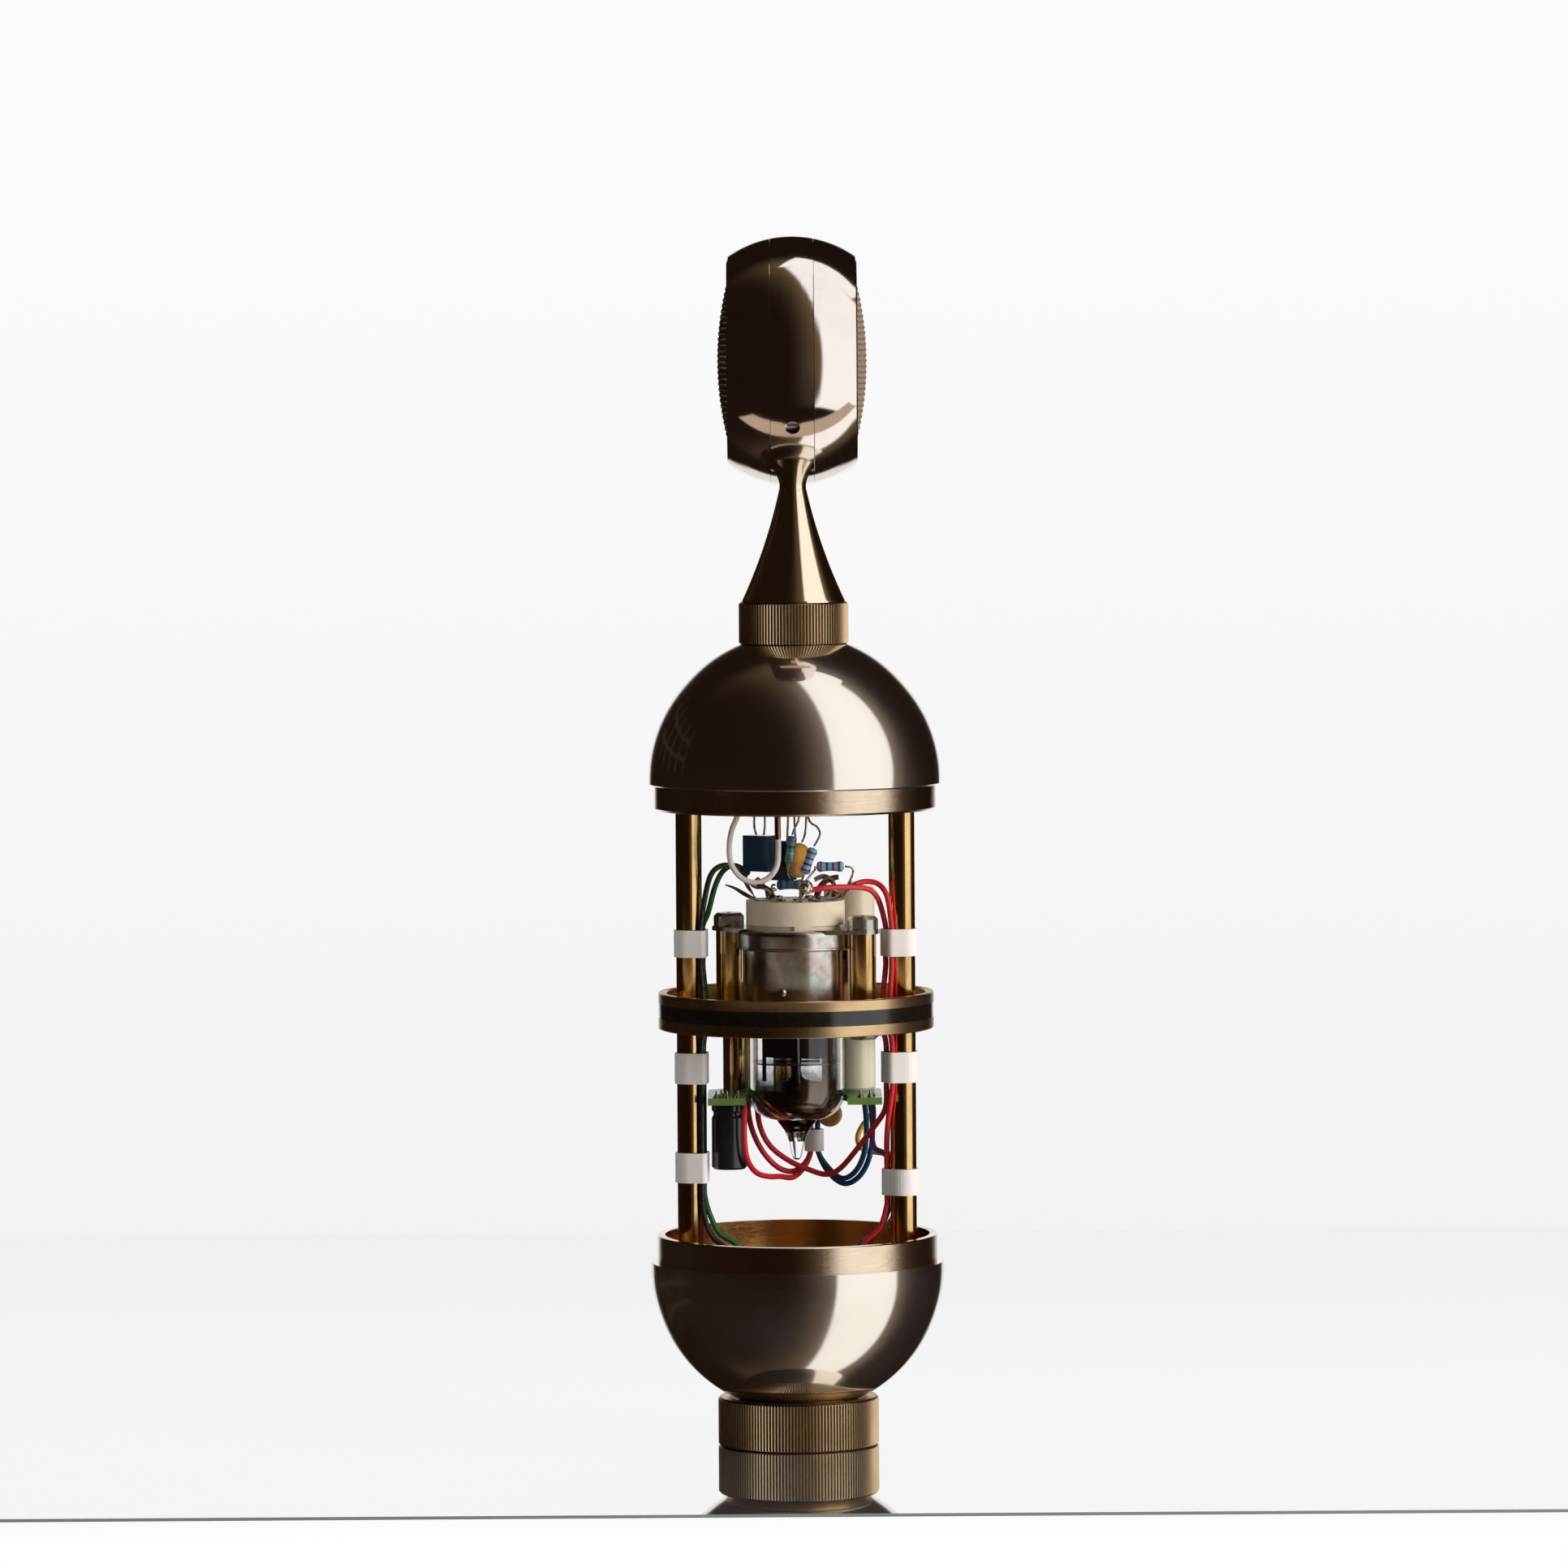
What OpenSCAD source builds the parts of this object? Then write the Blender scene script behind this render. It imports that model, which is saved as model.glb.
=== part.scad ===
// Tube condenser microphone with its body sleeve taken off.
// Millimetres, +Z up, origin on the axis at the foot ring's lower face, front towards -Y.

/* [Bowl and foot] */
// Radius of the polished bowl
bowl_r = 33.5; // [33.5:0.1:36]
// Wall of the bowl and of the dome
shell_wall = 2.5; // [2:0.1:3]
// Height of the bowl's lowest point above the table
bowl_lift = 7.5; // [7:0.1:8.5]
// Straight band above the bowl's widest circle and below the dome's
shell_band = 1; // [0.5:0.1:2]
// Radius of the knurled foot ring
foot_r = 18.35; // [17:0.05:20]
// Height of the knurled foot ring
foot_h = 11; // [9:0.1:11.5]
// Radius of the threaded boss under the bowl
boss_r = 14; // [13.4:0.1:14.4]
// Height of the boss's lower face above the table
boss_lift = 1.5; // [1:0.1:2.5]
// Radius of the connector's mouth
mouth_r = 11.5; // [11.2:0.1:12]
// Depth of the connector's mouth
mouth_depth = 4.5; // [4:0.1:5]
// Radius of the connector's insert
insert_r = 11; // [10:0.1:11.1]
// Thickness of the connector's insert
insert_t = 4; // [3:0.1:5]

/* [Sleeve spigots] */
// Radius of the lower spigot ring
low_spigot_r = 32; // [31.8:0.05:32.8]
// Height of the lower spigot that shows above the bowl
low_spigot_h = 6.1; // [4:0.1:8]
// Radius of the upper spigot ring
top_spigot_r = 32.25; // [31.8:0.05:32.8]
// Height of the upper spigot that shows below the dome
top_spigot_h = 5.7; // [4:0.1:7]
// Wall of both spigots
spigot_wall = 1.75; // [1.4:0.05:2.2]
// Thickness of the web inside each spigot ring
web_t = 3; // [2:0.1:3.5]
// Radius of the wire hole in each web
web_hole_r = 15.5; // [14:0.1:16.5]
// Distance from the bowl's rim to the dome's rim, which the sleeve covers
frame_len = 108.9; // [104:0.1:116]

/* [Frame] */
// Diameter of the long rods
rod_d = 6; // [5:0.1:6.5]
// Distance between the rods' axes
rod_span = 48.7; // [48:0.1:49.5]
// Radius of the middle ring
mid_r = 31.5; // [31:0.1:32.5]
// Height of the middle ring
mid_h = 8.3; // [7:0.1:10]
// Height of the middle ring above the bowl's rim
mid_rise = 53.2; // [52:0.1:54]
// Wall of the middle ring
mid_wall = 1.8; // [1.6:0.1:2.4]
// Height of the black band
band_h = 3.4; // [2:0.1:4]
// Thickness of the black band
band_t = 0.6; // [0.3:0.05:0.8]
// Brass left above the black band
band_top = 2.35; // [1.5:0.05:2.6]
// Thickness of the chassis plate
plate_t = 2; // [1.5:0.1:2.5]
// Diameter of the short pillars
pillar_d = 6; // [5:0.1:6]
// Height of the socket's pillars
pillar_h = 19.1; // [18:0.1:20]
// Height of the circuit board's pillars
board_drop = 16.4; // [15:0.1:18]

/* [Screws] */
// Diameter of the pan-head screws
screw_d = 3.5; // [3:0.1:3.6]
// Head diameter of the pan-head screws
screw_head_d = 7; // [6:0.1:7]
// Head height of the pan-head screws
screw_head_h = 3; // [2:0.1:3]
// Threaded length of the pan-head screws past the plate they hold
screw_grip = 5; // [4:0.1:6]

/* [Dome, neck and collar] */
// Radius of the polished dome
dome_r = 33.5; // [33.5:0.1:36]
// Radius of the knurled collar
collar_r = 12.55; // [12.4:0.05:14]
// Height of the knurled collar
collar_h = 9.65; // [9:0.05:11]
// Radius of the dome's threaded neck
neck_r = 10.9; // [10.6:0.05:11.2]
// Height of the dome's threaded neck
neck_h = 4.5; // [4:0.1:5]
// Bore of the neck
neck_bore_r = 6.05; // [5.5:0.05:6.5]
// Height of one knurl tooth
knurl_depth = 0.3; // [0.1:0.02:0.36]
// Pitch of the knurl along the rim
knurl_pitch = 0.76; // [0.6:0.02:1.2]

/* [Head] */
// Largest radius of the head, on its crown
head_r = 28.7; // [28:0.1:31]
// Radius of the crown's cross arc
crown_r = 26; // [24:0.5:40]
// Width of the head between its two faces
head_w = 29.7; // [28:0.1:32]
// Width of the middle ring
center_w = 10.1; // [9:0.1:11]
// Inner radius of the rings
head_bore_r = 21; // [20.9:0.1:21.5]
// Radius of each face's opening
opening_r = 18.4; // [18:0.1:19]
// How far each grille stands out of its face
grille_proud = 2.1; // [1.5:0.1:3]
// Thickness of the grille's mesh
grille_t = 0.8; // [0.6:0.05:1]
// Pitch of the grille's mesh
mesh_pitch = 2.55; // [2.4:0.05:4]
// Wire width of the grille's mesh
mesh_wire = 0.85; // [0.6:0.05:1]
// Height of the stem
stem_h = 26.3; // [24:0.1:32]
// Radius of the stem's base
stem_base_r = 11.9; // [11:0.05:12.3]
// Radius of the stem's top
stem_top_r = 3.1; // [3:0.05:4]
// Radius of the arc that hollows the stem
stem_arc_r = 118; // [110:1:160]
// Slope angle of the head's slotted screws below the horizontal
head_screw_angle = 31.5; // [20:0.5:40]

/* [Capsule] */
// Radius of the capsule
capsule_r = 17; // [16.5:0.1:17.2]
// Thickness of the capsule's core
core_t = 8.8; // [7:0.1:9]
// Width of the clamping rings
clamp_w = 2.5; // [2:0.1:2.6]
// Thickness of the clamping rings
clamp_t = 1.8; // [1.2:0.1:2]
// Screws in each clamping ring
clamp_screws = 8; // [6:1:12]

/* [Tube, socket and shield] */
// Radius of the tube's glass
glass_r = 11; // [10.8:0.05:11.05]
// Wall of the glass
glass_wall = 0.9; // [0.7:0.05:1.1]
// Length of the glass without its tip
glass_len = 38.7; // [37:0.1:39]
// Radius of the pin circle
pin_circle_r = 5.95; // [5.8:0.05:6.1]
// Diameter of the tube's pins
pin_d = 1.02; // [0.9:0.02:1.1]
// Radius of the ceramic socket
ceramic_r = 11.3; // [11:0.05:11.6]
// Height of the ceramic socket above its saddle
ceramic_h = 6.3; // [5.5:0.1:6.5]
// Radius of the saddle's skirt
skirt_r = 13.45; // [13.35:0.05:13.6]
// Height of the saddle's skirt
skirt_h = 4.1; // [3.6:0.1:4.5]
// Thickness of the saddle's sheet
saddle_t = 1; // [0.7:0.05:1.1]
// Radius of the shield can
can_r = 12.2; // [12.15:0.01:12.25]
// Length of the shield can
can_len = 19.6; // [19:0.1:20]
// Wall of the shield can
can_wall = 0.4; // [0.35:0.01:0.45]

/* [Circuit] */
// Thickness of the circuit board
board_t = 1.6; // [1.2:0.1:2]
// Radius of the circuit board's round back
board_r = 26; // [25:0.1:27]
// Diameter of the film capacitor
film_d = 11.8; // [10:0.1:11.9]
// Length of the film capacitor
film_len = 47; // [40:0.5:48]
// Diameter of the electrolytic capacitor
can_cap_d = 8.1; // [7:0.1:8.2]
// Length of the electrolytic capacitor
can_cap_len = 15; // [12:0.5:16]
// Length of a resistor's body
resistor_len = 6.3; // [5:0.1:6.5]
// Diameter of a resistor's body
resistor_d = 2.3; // [2:0.1:2.4]
// Diameter of the insulated wires
wire_d = 1.4; // [1:0.05:1.5]
// Diameter of the bare leads
lead_d = 0.6; // [0.5:0.05:0.7]
// Wall of the white cable sleeves
sleeve_wall = 0.3; // [0.2:0.05:0.4]

/* [Hidden] */

$fn = 96;

// Clearances: seat between fixed pieces, running between moving ones, air round the tube
seat = 0.05;
run = 0.05;
air = 0.35;

// Heights, from the table up
bowl_z = bowl_lift + bowl_r;
rim_z = bowl_z + shell_band;
web_drop = 4;
low_web_z = rim_z - web_drop;
low_web_top = low_web_z + web_t;
mid_z = rim_z + mid_rise;
ledge_h = 0.8;
inset_wall = 0.65;
spot_face = 0.05;
plate_z = mid_z + ledge_h;
plate_top = plate_z + plate_t;
saddle_top = plate_top + pillar_h + saddle_t;
ceramic_top = saddle_top + ceramic_h;
board_top = plate_z - board_drop;
board_z = board_top - board_t;
dome_rim_z = rim_z + frame_len;
dome_z = dome_rim_z + shell_band;
top_web_z = dome_rim_z - web_t - 0.4;
top_web_top = top_web_z + web_t;
tag_t = 1.6;
tag_w = 21;
tag_top = top_web_top + tag_t;

// Neck and head
crown_seat_r = collar_r + 0.2;
crown_z = dome_z + sqrt(dome_r * dome_r - crown_seat_r * crown_seat_r);
crown_t = 2.7;
neck_stub_r = neck_bore_r + 1.95;
neck_stub_len = crown_t + 4.2;
neck_top = crown_z + neck_h;
collar_z = crown_z + run;
collar_top = collar_z + collar_h;
stem_z = collar_top + run;
lip_t = 3.35;
lip_r = neck_r - 1.85;
stem_nut_t = 1.6;
stem_nut_z = collar_top - lip_t - 0.1 - stem_nut_t;
stem_nut_bore = neck_r - 3.25;
pilot_len = 3.4;
bush_r = 4.5;
bush_len = 12;
pin_r = 1;
lead_bore_r = 1.6;
head_z = stem_z + stem_h + head_r;
face_x = head_w / 2;
seam_x = center_w / 2;
lip_w = 0.95;
head_spigot_r = 2.2;
head_spigot_len = 5;

// Tube, measured from its glass base downwards
glass_top = saddle_top - 5.1;
glass_low = glass_top - glass_len;
shoulder_r = 6;
tip_len = 9.3;
pin_len = 6.5;
pin_angles = [for (i = [0:8]) 130 + 36 * i];

// Places of the pillars, boards and capacitors in plan
pillar_spots = [[-15.3, 7.1], [15.3, -7.1]];
board_spots = [[-13.9, 13.7], [-3, 18.5]];
film_spot = [12.4, 15.7];
can_cap_spot = [-15.45, 0];
tag_spots = [[0, 21], [0, -21]];
slot_from = -75;
slot_sweep = 130;
wire_bow = 0.8;
sleeve_gap = 0.2;
board_front = -6.5;
board_left = -20.3;
board_right = 19.5;

// Seats of the wires round the rods: degrees from the inward direction, positive to the back
left_seats = [-45, 35];
right_seats = [-50, 0];
low_right_seats = [0, 38, 76];
seat_r = rod_d / 2 + wire_d / 2 + 0.1;

// A point beside a rod, side -1 left or 1 right, at a seat's angle and a height, bowed off by a gap
function beside(side, angle, z, bow = 0) = [
    side * (rod_span / 2 - (seat_r + bow) * cos(angle)), (seat_r + bow) * sin(angle), z
];

// Height at a part of the way from one level up to another
function between(low, high, part) = low + part * (high - low);

// Unit vector
function unit(v) = v / norm(v);

// Point on a Catmull-Rom curve between b and c
function curve(a, b, c, d, t) =
    0.5 * (2 * b + (c - a) * t + (2 * a - 5 * b + 4 * c - d) * t * t
    + (3 * b - a - 3 * c + d) * t * t * t);

// Smooth route through points, with steps points in each stretch
function route(p, steps) = [
    for (i = [0:len(p) - 2], k = [0:steps - 1])
        curve(p[max(i - 1, 0)], p[i], p[i + 1], p[min(i + 2, len(p) - 1)], k / steps),
    p[len(p) - 1]
];

// Direction of a path at point i
function heading(p, i) = unit(p[min(i + 1, len(p) - 1)] - p[max(i - 1, 0)]);

// Ring of points round path point i, square to the path
function ring_at(p, i, r, sides, ref) =
    let (t = heading(p, i), n = unit(cross(t, ref)), b = cross(t, n))
    [for (k = [0:sides - 1]) p[i] + r * (n * cos(360 * k / sides) + b * sin(360 * k / sides))];

// Tube swept along a path
module sweep(p, d, sides = 8, ref = [0.13, 1, 0.07]) {
    rings = len(p);
    points = [for (i = [0:rings - 1]) each ring_at(p, i, d / 2, sides, ref)];
    walls = [
        for (i = [0:rings - 2], k = [0:sides - 1])
            let (a = i * sides + k, b = i * sides + (k + 1) % sides)
            each [[a, b, b + sides], [a, b + sides, a + sides]]
    ];
    first = [for (k = [1:sides - 2]) [0, k + 1, k]];
    base = (rings - 1) * sides;
    last = [for (k = [1:sides - 2]) [base, base + k, base + k + 1]];
    polyhedron(points, concat(walls, first, last));
}

// Insulated wire through hand-chosen points
module wire(p, steps = 3) {
    sweep(route(p, steps), wire_d);
}

// Bare lead through hand-chosen points
module lead(p, steps = 2) {
    sweep(route(p, steps), lead_d, 6);
}

// Ring of rectangular section from z0 to z1
module ring(ro, ri, z0, z1) {
    translate([0, 0, z0])
        difference() {
            cylinder(h = z1 - z0, r = ro);
            translate([0, 0, -1]) cylinder(h = z1 - z0 + 2, r = ri);
        }
}

// Square 2D block from a low corner to a high corner
module block(a, b) {
    translate(a) square(b - a);
}

// Corner cut at 45 degrees, size c, centred on a point
module corner_cut(p, c) {
    translate(p) rotate(45) square(c * sqrt(2), center = true);
}

// Straight-knurled disc with chamfered ends
module knurled(r, h, chamfer) {
    teeth = round(2 * PI * r / knurl_pitch);
    step = 360 / teeth;
    outline = [
        for (i = [0:teeth - 1], k = [[0.05, 0], [0.4, 1], [0.6, 1], [0.95, 0]])
            let (a = (i + k[0]) * step, q = r - knurl_depth * (1 - k[1]))
            [q * cos(a), q * sin(a)]
    ];
    intersection() {
        linear_extrude(h) polygon(outline);
        rotate_extrude() polygon([
            [0, 0], [r - chamfer, 0], [r + 0.1, chamfer + 0.1], [r + 0.1, h - chamfer - 0.1],
            [r - chamfer, h], [0, h]
        ]);
    }
}

// Pan-head screw with a cross recess, its head's seat at z = 0 and its shank downwards
module pan_screw(through) {
    difference() {
        union() {
            translate([0, 0, -through - screw_grip]) cylinder(h = through + screw_grip, d = screw_d);
            rotate_extrude() difference() {
                block([0, 0], [screw_head_d / 2, screw_head_h]);
                corner_cut([screw_head_d / 2, screw_head_h], 0.7);
            }
        }
        for (a = [0, 90])
            rotate(a) translate([-1.7, -0.35, screw_head_h - 1.2]) cube([3.4, 0.7, 2]);
    }
}

// Tapped hole for a pan-head screw, downwards from z = 0
module tapped_hole() {
    translate([0, 0, -screw_grip - 1]) cylinder(h = screw_grip + 2, d = screw_d + 2 * seat);
}

// Outline of two circles wrapped by their common tangents
module wrap2d(r1, r2, d) {
    a = acos((r1 - r2) / d);
    circle(r = r1);
    translate([d, 0]) circle(r = r2);
    polygon([
        [r1 * cos(a), r1 * sin(a)], [d + r2 * cos(a), r2 * sin(a)],
        [d + r2 * cos(a), -r2 * sin(a)], [r1 * cos(a), -r1 * sin(a)]
    ]);
}

// Places a child at both rods
module at_rods(z = 0) {
    for (s = [-1, 1]) translate([s * rod_span / 2, 0, z]) children();
}

// Places a child at each plan position of a list
module at_spots(spots, z = 0) {
    for (p = spots) translate([p[0], p[1], z]) children();
}

// Turns a shape built about Z to lie about the head's axis, X
module on_head_axis() {
    translate([0, 0, head_z]) rotate([0, 90, 0]) children();
}

// Section of the crowned head between two places along its axis, outside an inner radius
module crown2d(a0, a1, inner) {
    intersection() {
        translate([head_r - crown_r, 0]) circle(r = crown_r, $fn = 180);
        block([inner, a0], [head_r + 1, a1]);
    }
}

// Radial hole in the head at an angle below the horizontal front
module head_radial(angle, r0, r1, r) {
    translate([0, 0, head_z]) rotate([90 + angle, 0, 0])
        translate([0, 0, r0]) cylinder(h = r1 - r0, r = r);
}

screw_sink = head_r - 2.5;
screw_clear_r = 1.05;

module head_center_ring() {
    color("goldenrod") difference() {
        on_head_axis() rotate_extrude() difference() {
            crown2d(-seam_x, seam_x, head_bore_r);
            for (s = [-1, 1]) corner_cut([head_r - 0.45, s * seam_x], 0.15);
        }
        for (a = [head_screw_angle, 180 - head_screw_angle]) {
            head_radial(a, head_bore_r - 2, head_r, screw_clear_r);
            head_radial(a, screw_sink, head_r + 2, 1.7);
        }
        translate([0, 0, head_z - head_r - 2])
            cylinder(h = head_r - head_bore_r + 4, r = head_spigot_r + seat);
    }
}

// Crowned side ring of the head, on the +X side
module side_ring() {
    on_head_axis() rotate_extrude() difference() {
        union() {
            crown2d(seam_x + 0.02, face_x, head_bore_r);
            crown2d(face_x - lip_w, face_x, opening_r);
        }
        corner_cut([head_r - crown_r + sqrt(crown_r * crown_r - face_x * face_x), face_x], 0.5);
        corner_cut([opening_r, face_x], 0.35);
    }
}

module head_ring_right() {
    color("goldenrod") side_ring();
}

module head_ring_left() {
    color("goldenrod") mirror([1, 0, 0]) side_ring();
}

// Domed grille with its rim flange, on the +X side
module grille() {
    rim_r = opening_r - 0.2;
    arc_r = (rim_r * rim_r + grille_proud * grille_proud) / (2 * grille_proud);
    arc_z = face_x + grille_proud - arc_r;
    flange_x = face_x - lip_w - seat;
    flange_r = head_bore_r - 0.1;
    gap = mesh_pitch - mesh_wire;
    count = floor((rim_r - 1.2) / mesh_pitch);
    on_head_axis() {
        difference() {
            rotate_extrude() {
                difference() {
                    intersection() {
                        translate([0, arc_z]) circle(r = arc_r, $fn = 360);
                        block([0, face_x - 1], [rim_r, face_x + grille_proud + 1]);
                    }
                    translate([0, arc_z]) circle(r = arc_r - grille_t, $fn = 360);
                }
                block([rim_r - 0.8, flange_x - 0.8], [rim_r, face_x - 0.5]);
                block([rim_r - 0.8, flange_x - 0.8], [flange_r, flange_x]);
            }
            for (i = [-count:count], k = [-count:count])
                if (norm([i, k]) * mesh_pitch < rim_r - 0.8 - gap * 0.71 - 0.3)
                    translate([i * mesh_pitch - gap / 2, k * mesh_pitch - gap / 2, face_x - 2])
                        cube([gap, gap, grille_proud + 4]);
        }
    }
}

module grille_right() {
    color("darkkhaki") grille();
}

module grille_left() {
    color("darkkhaki") mirror([1, 0, 0]) grille();
}

module head_screws() {
    color("gold") for (a = [head_screw_angle, 180 - head_screw_angle])
        difference() {
            union() {
                head_radial(a, capsule_r + 1.4, screw_sink + 0.1, 1);
                head_radial(a, screw_sink, screw_sink + 1.2, 1.3);
            }
            translate([0, 0, head_z]) rotate([90 + a, 0, 0])
                translate([-2, -0.2, screw_sink + 0.6]) cube([4, 0.4, 2]);
        }
}

mount_w = 6;

module capsule_mount() {
    color("whitesmoke") difference() {
        on_head_axis() ring(head_bore_r - 0.1, capsule_r + seat, -mount_w / 2, mount_w / 2);
        for (a = [head_screw_angle, 180 - head_screw_angle])
            head_radial(a, capsule_r + 1.2, head_bore_r + 1, screw_clear_r);
        translate([0, 0, head_z - head_bore_r - 1]) cylinder(h = head_bore_r - capsule_r + 2, r = 1);
    }
}

clamp_mid_r = capsule_r - clamp_w / 2;
film_t = 0.1;
film_r = capsule_r - clamp_w + 0.45;
clamp_seat = core_t / 2 + film_t;

// Places a child at every clamping screw, on both faces of the capsule
module at_clamp_screws() {
    for (s = [0, 1], i = [0:clamp_screws - 1])
        mirror([s, 0, 0]) on_head_axis() rotate((i + 0.5) * 360 / clamp_screws)
            translate([clamp_mid_r + 0.2, 0, clamp_seat + clamp_t]) children();
}

module capsule_core() {
    color("peru") difference() {
        on_head_axis() translate([0, 0, -core_t / 2]) cylinder(h = core_t, r = capsule_r);
        at_clamp_screws() translate([0, 0, -clamp_t - 2]) cylinder(h = clamp_t + 3, r = 0.5 + seat);
    }
}

module diaphragms() {
    color("gold") for (s = [0, 1])
        mirror([s, 0, 0]) on_head_axis() translate([0, 0, core_t / 2]) cylinder(h = film_t, r = film_r);
}

module capsule_rings() {
    color("khaki") difference() {
        for (s = [0, 1])
            mirror([s, 0, 0]) on_head_axis()
                ring(capsule_r, capsule_r - clamp_w, clamp_seat, clamp_seat + clamp_t);
        at_clamp_screws() translate([0, 0, -clamp_t - 1]) cylinder(h = clamp_t + 2, r = 0.5 + seat);
    }
}

module capsule_screws() {
    color("silver") at_clamp_screws() difference() {
        union() {
            translate([0, 0, -clamp_t - 1.8]) cylinder(h = clamp_t + 1.9, r = 0.5);
            cylinder(h = 0.7, r = 0.9);
        }
        translate([-1, -0.15, 0.35]) cube([2, 0.3, 1]);
    }
}

// Half section of the stem: a cone hollowed by an arc, with its spigot, pilot and bores
module stem2d() {
    low = [stem_base_r, stem_z + 0.4];
    high = [stem_top_r, stem_z + stem_h - 0.4];
    chord = high - low;
    half = norm(chord) / 2;
    outward = [chord[1], -chord[0]] / norm(chord);
    center = (low + high) / 2 + outward * sqrt(stem_arc_r * stem_arc_r - half * half);
    difference() {
        union() {
            difference() {
                polygon([[0, low[1]], low, high, [0, high[1]]]);
                translate(center) circle(r = stem_arc_r, $fn = 720);
            }
            block([0, stem_z], [stem_base_r, low[1]]);
            block([0, high[1] - 0.01], [stem_top_r, high[1] + 1.4]);
            block([0, stem_nut_z + stem_nut_t + 0.05], [lip_r - run, stem_z]);
            block([0, stem_nut_z], [stem_nut_bore - seat, stem_nut_z + stem_nut_t + 0.1]);
            block([0, stem_nut_z - pilot_len], [neck_bore_r - run, stem_nut_z]);
        }
        block([-1, stem_nut_z - pilot_len - 1], [bush_r + seat, stem_nut_z - pilot_len + bush_len]);
        block([-1, stem_z], [lead_bore_r, high[1] - 2]);
    }
}

module head_stem() {
    color("goldenrod") {
        difference() {
            rotate_extrude() stem2d();
            on_head_axis() rotate_extrude() crown2d(-seam_x, seam_x, 0);
            cylinder(h = head_z, r = head_spigot_r);
        }
        ring(head_spigot_r, 0.9, stem_z + stem_h - 3, stem_z + stem_h + head_spigot_len);
    }
}

module stem_nut() {
    color("darkgoldenrod") ring(neck_r - 0.3, stem_nut_bore, stem_nut_z, stem_nut_z + stem_nut_t);
}

module stem_bush() {
    color("white")
        ring(bush_r, pin_r + seat, stem_nut_z - pilot_len, stem_nut_z - pilot_len + bush_len - 0.1);
}

contact_low = stem_nut_z - pilot_len - 1.5;

module stem_contact() {
    color("gold") {
        translate([0, 0, contact_low]) cylinder(h = 11, r = pin_r);
        translate([0, 0, contact_low + 10])
            cylinder(h = head_z - capsule_r - 0.1 - contact_low - 10, r = 0.4);
    }
}

module neck_collar() {
    color("goldenrod") difference() {
        translate([0, 0, collar_z]) knurled(collar_r, collar_h, 0.45);
        translate([0, 0, collar_z - 1]) cylinder(h = collar_h - lip_t + 1, r = neck_r + run);
        translate([0, 0, collar_z - 1]) cylinder(h = collar_h + 2, r = lip_r);
    }
}

module dome_neck() {
    color("darkgoldenrod") {
        ring(neck_r, neck_bore_r, crown_z, neck_top);
        ring(neck_stub_r, neck_bore_r, neck_top - neck_h - neck_stub_len, crown_z + 0.01);
    }
}

module neck_nut() {
    color("darkgoldenrod")
        ring(neck_stub_r + 3.9, neck_stub_r + seat, crown_z - crown_t - 3, crown_z - crown_t - 0.01);
}

socket_top = stem_nut_z - pilot_len - 0.2;
socket_low = crown_z - neck_stub_len;

module neck_socket() {
    color("white") difference() {
        translate([0, 0, socket_low]) cylinder(h = socket_top - socket_low, r = neck_bore_r - seat);
        translate([0, 0, socket_low - 1]) cylinder(h = socket_top - socket_low, r = pin_r + seat);
        translate([0, 0, contact_low - 0.3]) cylinder(h = 10, r = pin_r + 0.3);
    }
}

module neck_contact() {
    color("gold") {
        translate([0, 0, socket_low - 2]) cylinder(h = contact_low - 0.2 - socket_low + 2, r = pin_r);
        translate([0, 0, tag_top + 0.05]) cylinder(h = socket_low - 1.9 - tag_top, r = 0.4);
    }
}

// Half section of a shell of radius r about z = 0, its rim a band below, its crown cut flat
module shell2d(r, flat_top, flat_in) {
    inner = r - shell_wall;
    difference() {
        union() {
            intersection() {
                circle(r = r, $fn = 360);
                block([0, 0], [r, flat_top]);
            }
            block([0, -shell_band], [r, 0]);
        }
        intersection() {
            circle(r = inner, $fn = 360);
            block([-1, -r], [r, flat_in]);
        }
        block([-1, -shell_band - 1], [inner, web_drop]);
    }
}

module dome() {
    color("tan") translate([0, 0, dome_z]) difference() {
        rotate_extrude() difference() {
            shell2d(dome_r, crown_z - dome_z, crown_z - crown_t - dome_z);
            corner_cut([dome_r, -shell_band], 0.3);
        }
        cylinder(h = dome_r * 2, r = neck_stub_r + seat);
    }
}

module bottom_ring() {
    inset_r = bowl_r - shell_wall - 0.1;
    wall_r = min(low_spigot_r - spigot_wall, inset_r - inset_wall);
    color("tan") difference() {
        translate([0, 0, rim_z]) rotate_extrude() difference() {
            union() {
                block([low_spigot_r - spigot_wall, 0], [low_spigot_r, low_spigot_h]);
                block([web_hole_r, -web_drop], [inset_r, -web_drop + web_t]);
                block([wall_r, -web_drop], [inset_r, ledge_h]);
                block([wall_r, 0], [low_spigot_r, ledge_h]);
            }
            corner_cut([low_spigot_r, low_spigot_h], 0.2);
        }
        at_rods(low_web_top - spot_face) cylinder(h = web_drop, d = screw_head_d + 2 * air);
        at_rods(low_web_z - 1) cylinder(h = web_t + 2, d = screw_d + 2 * seat);
    }
}

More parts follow.
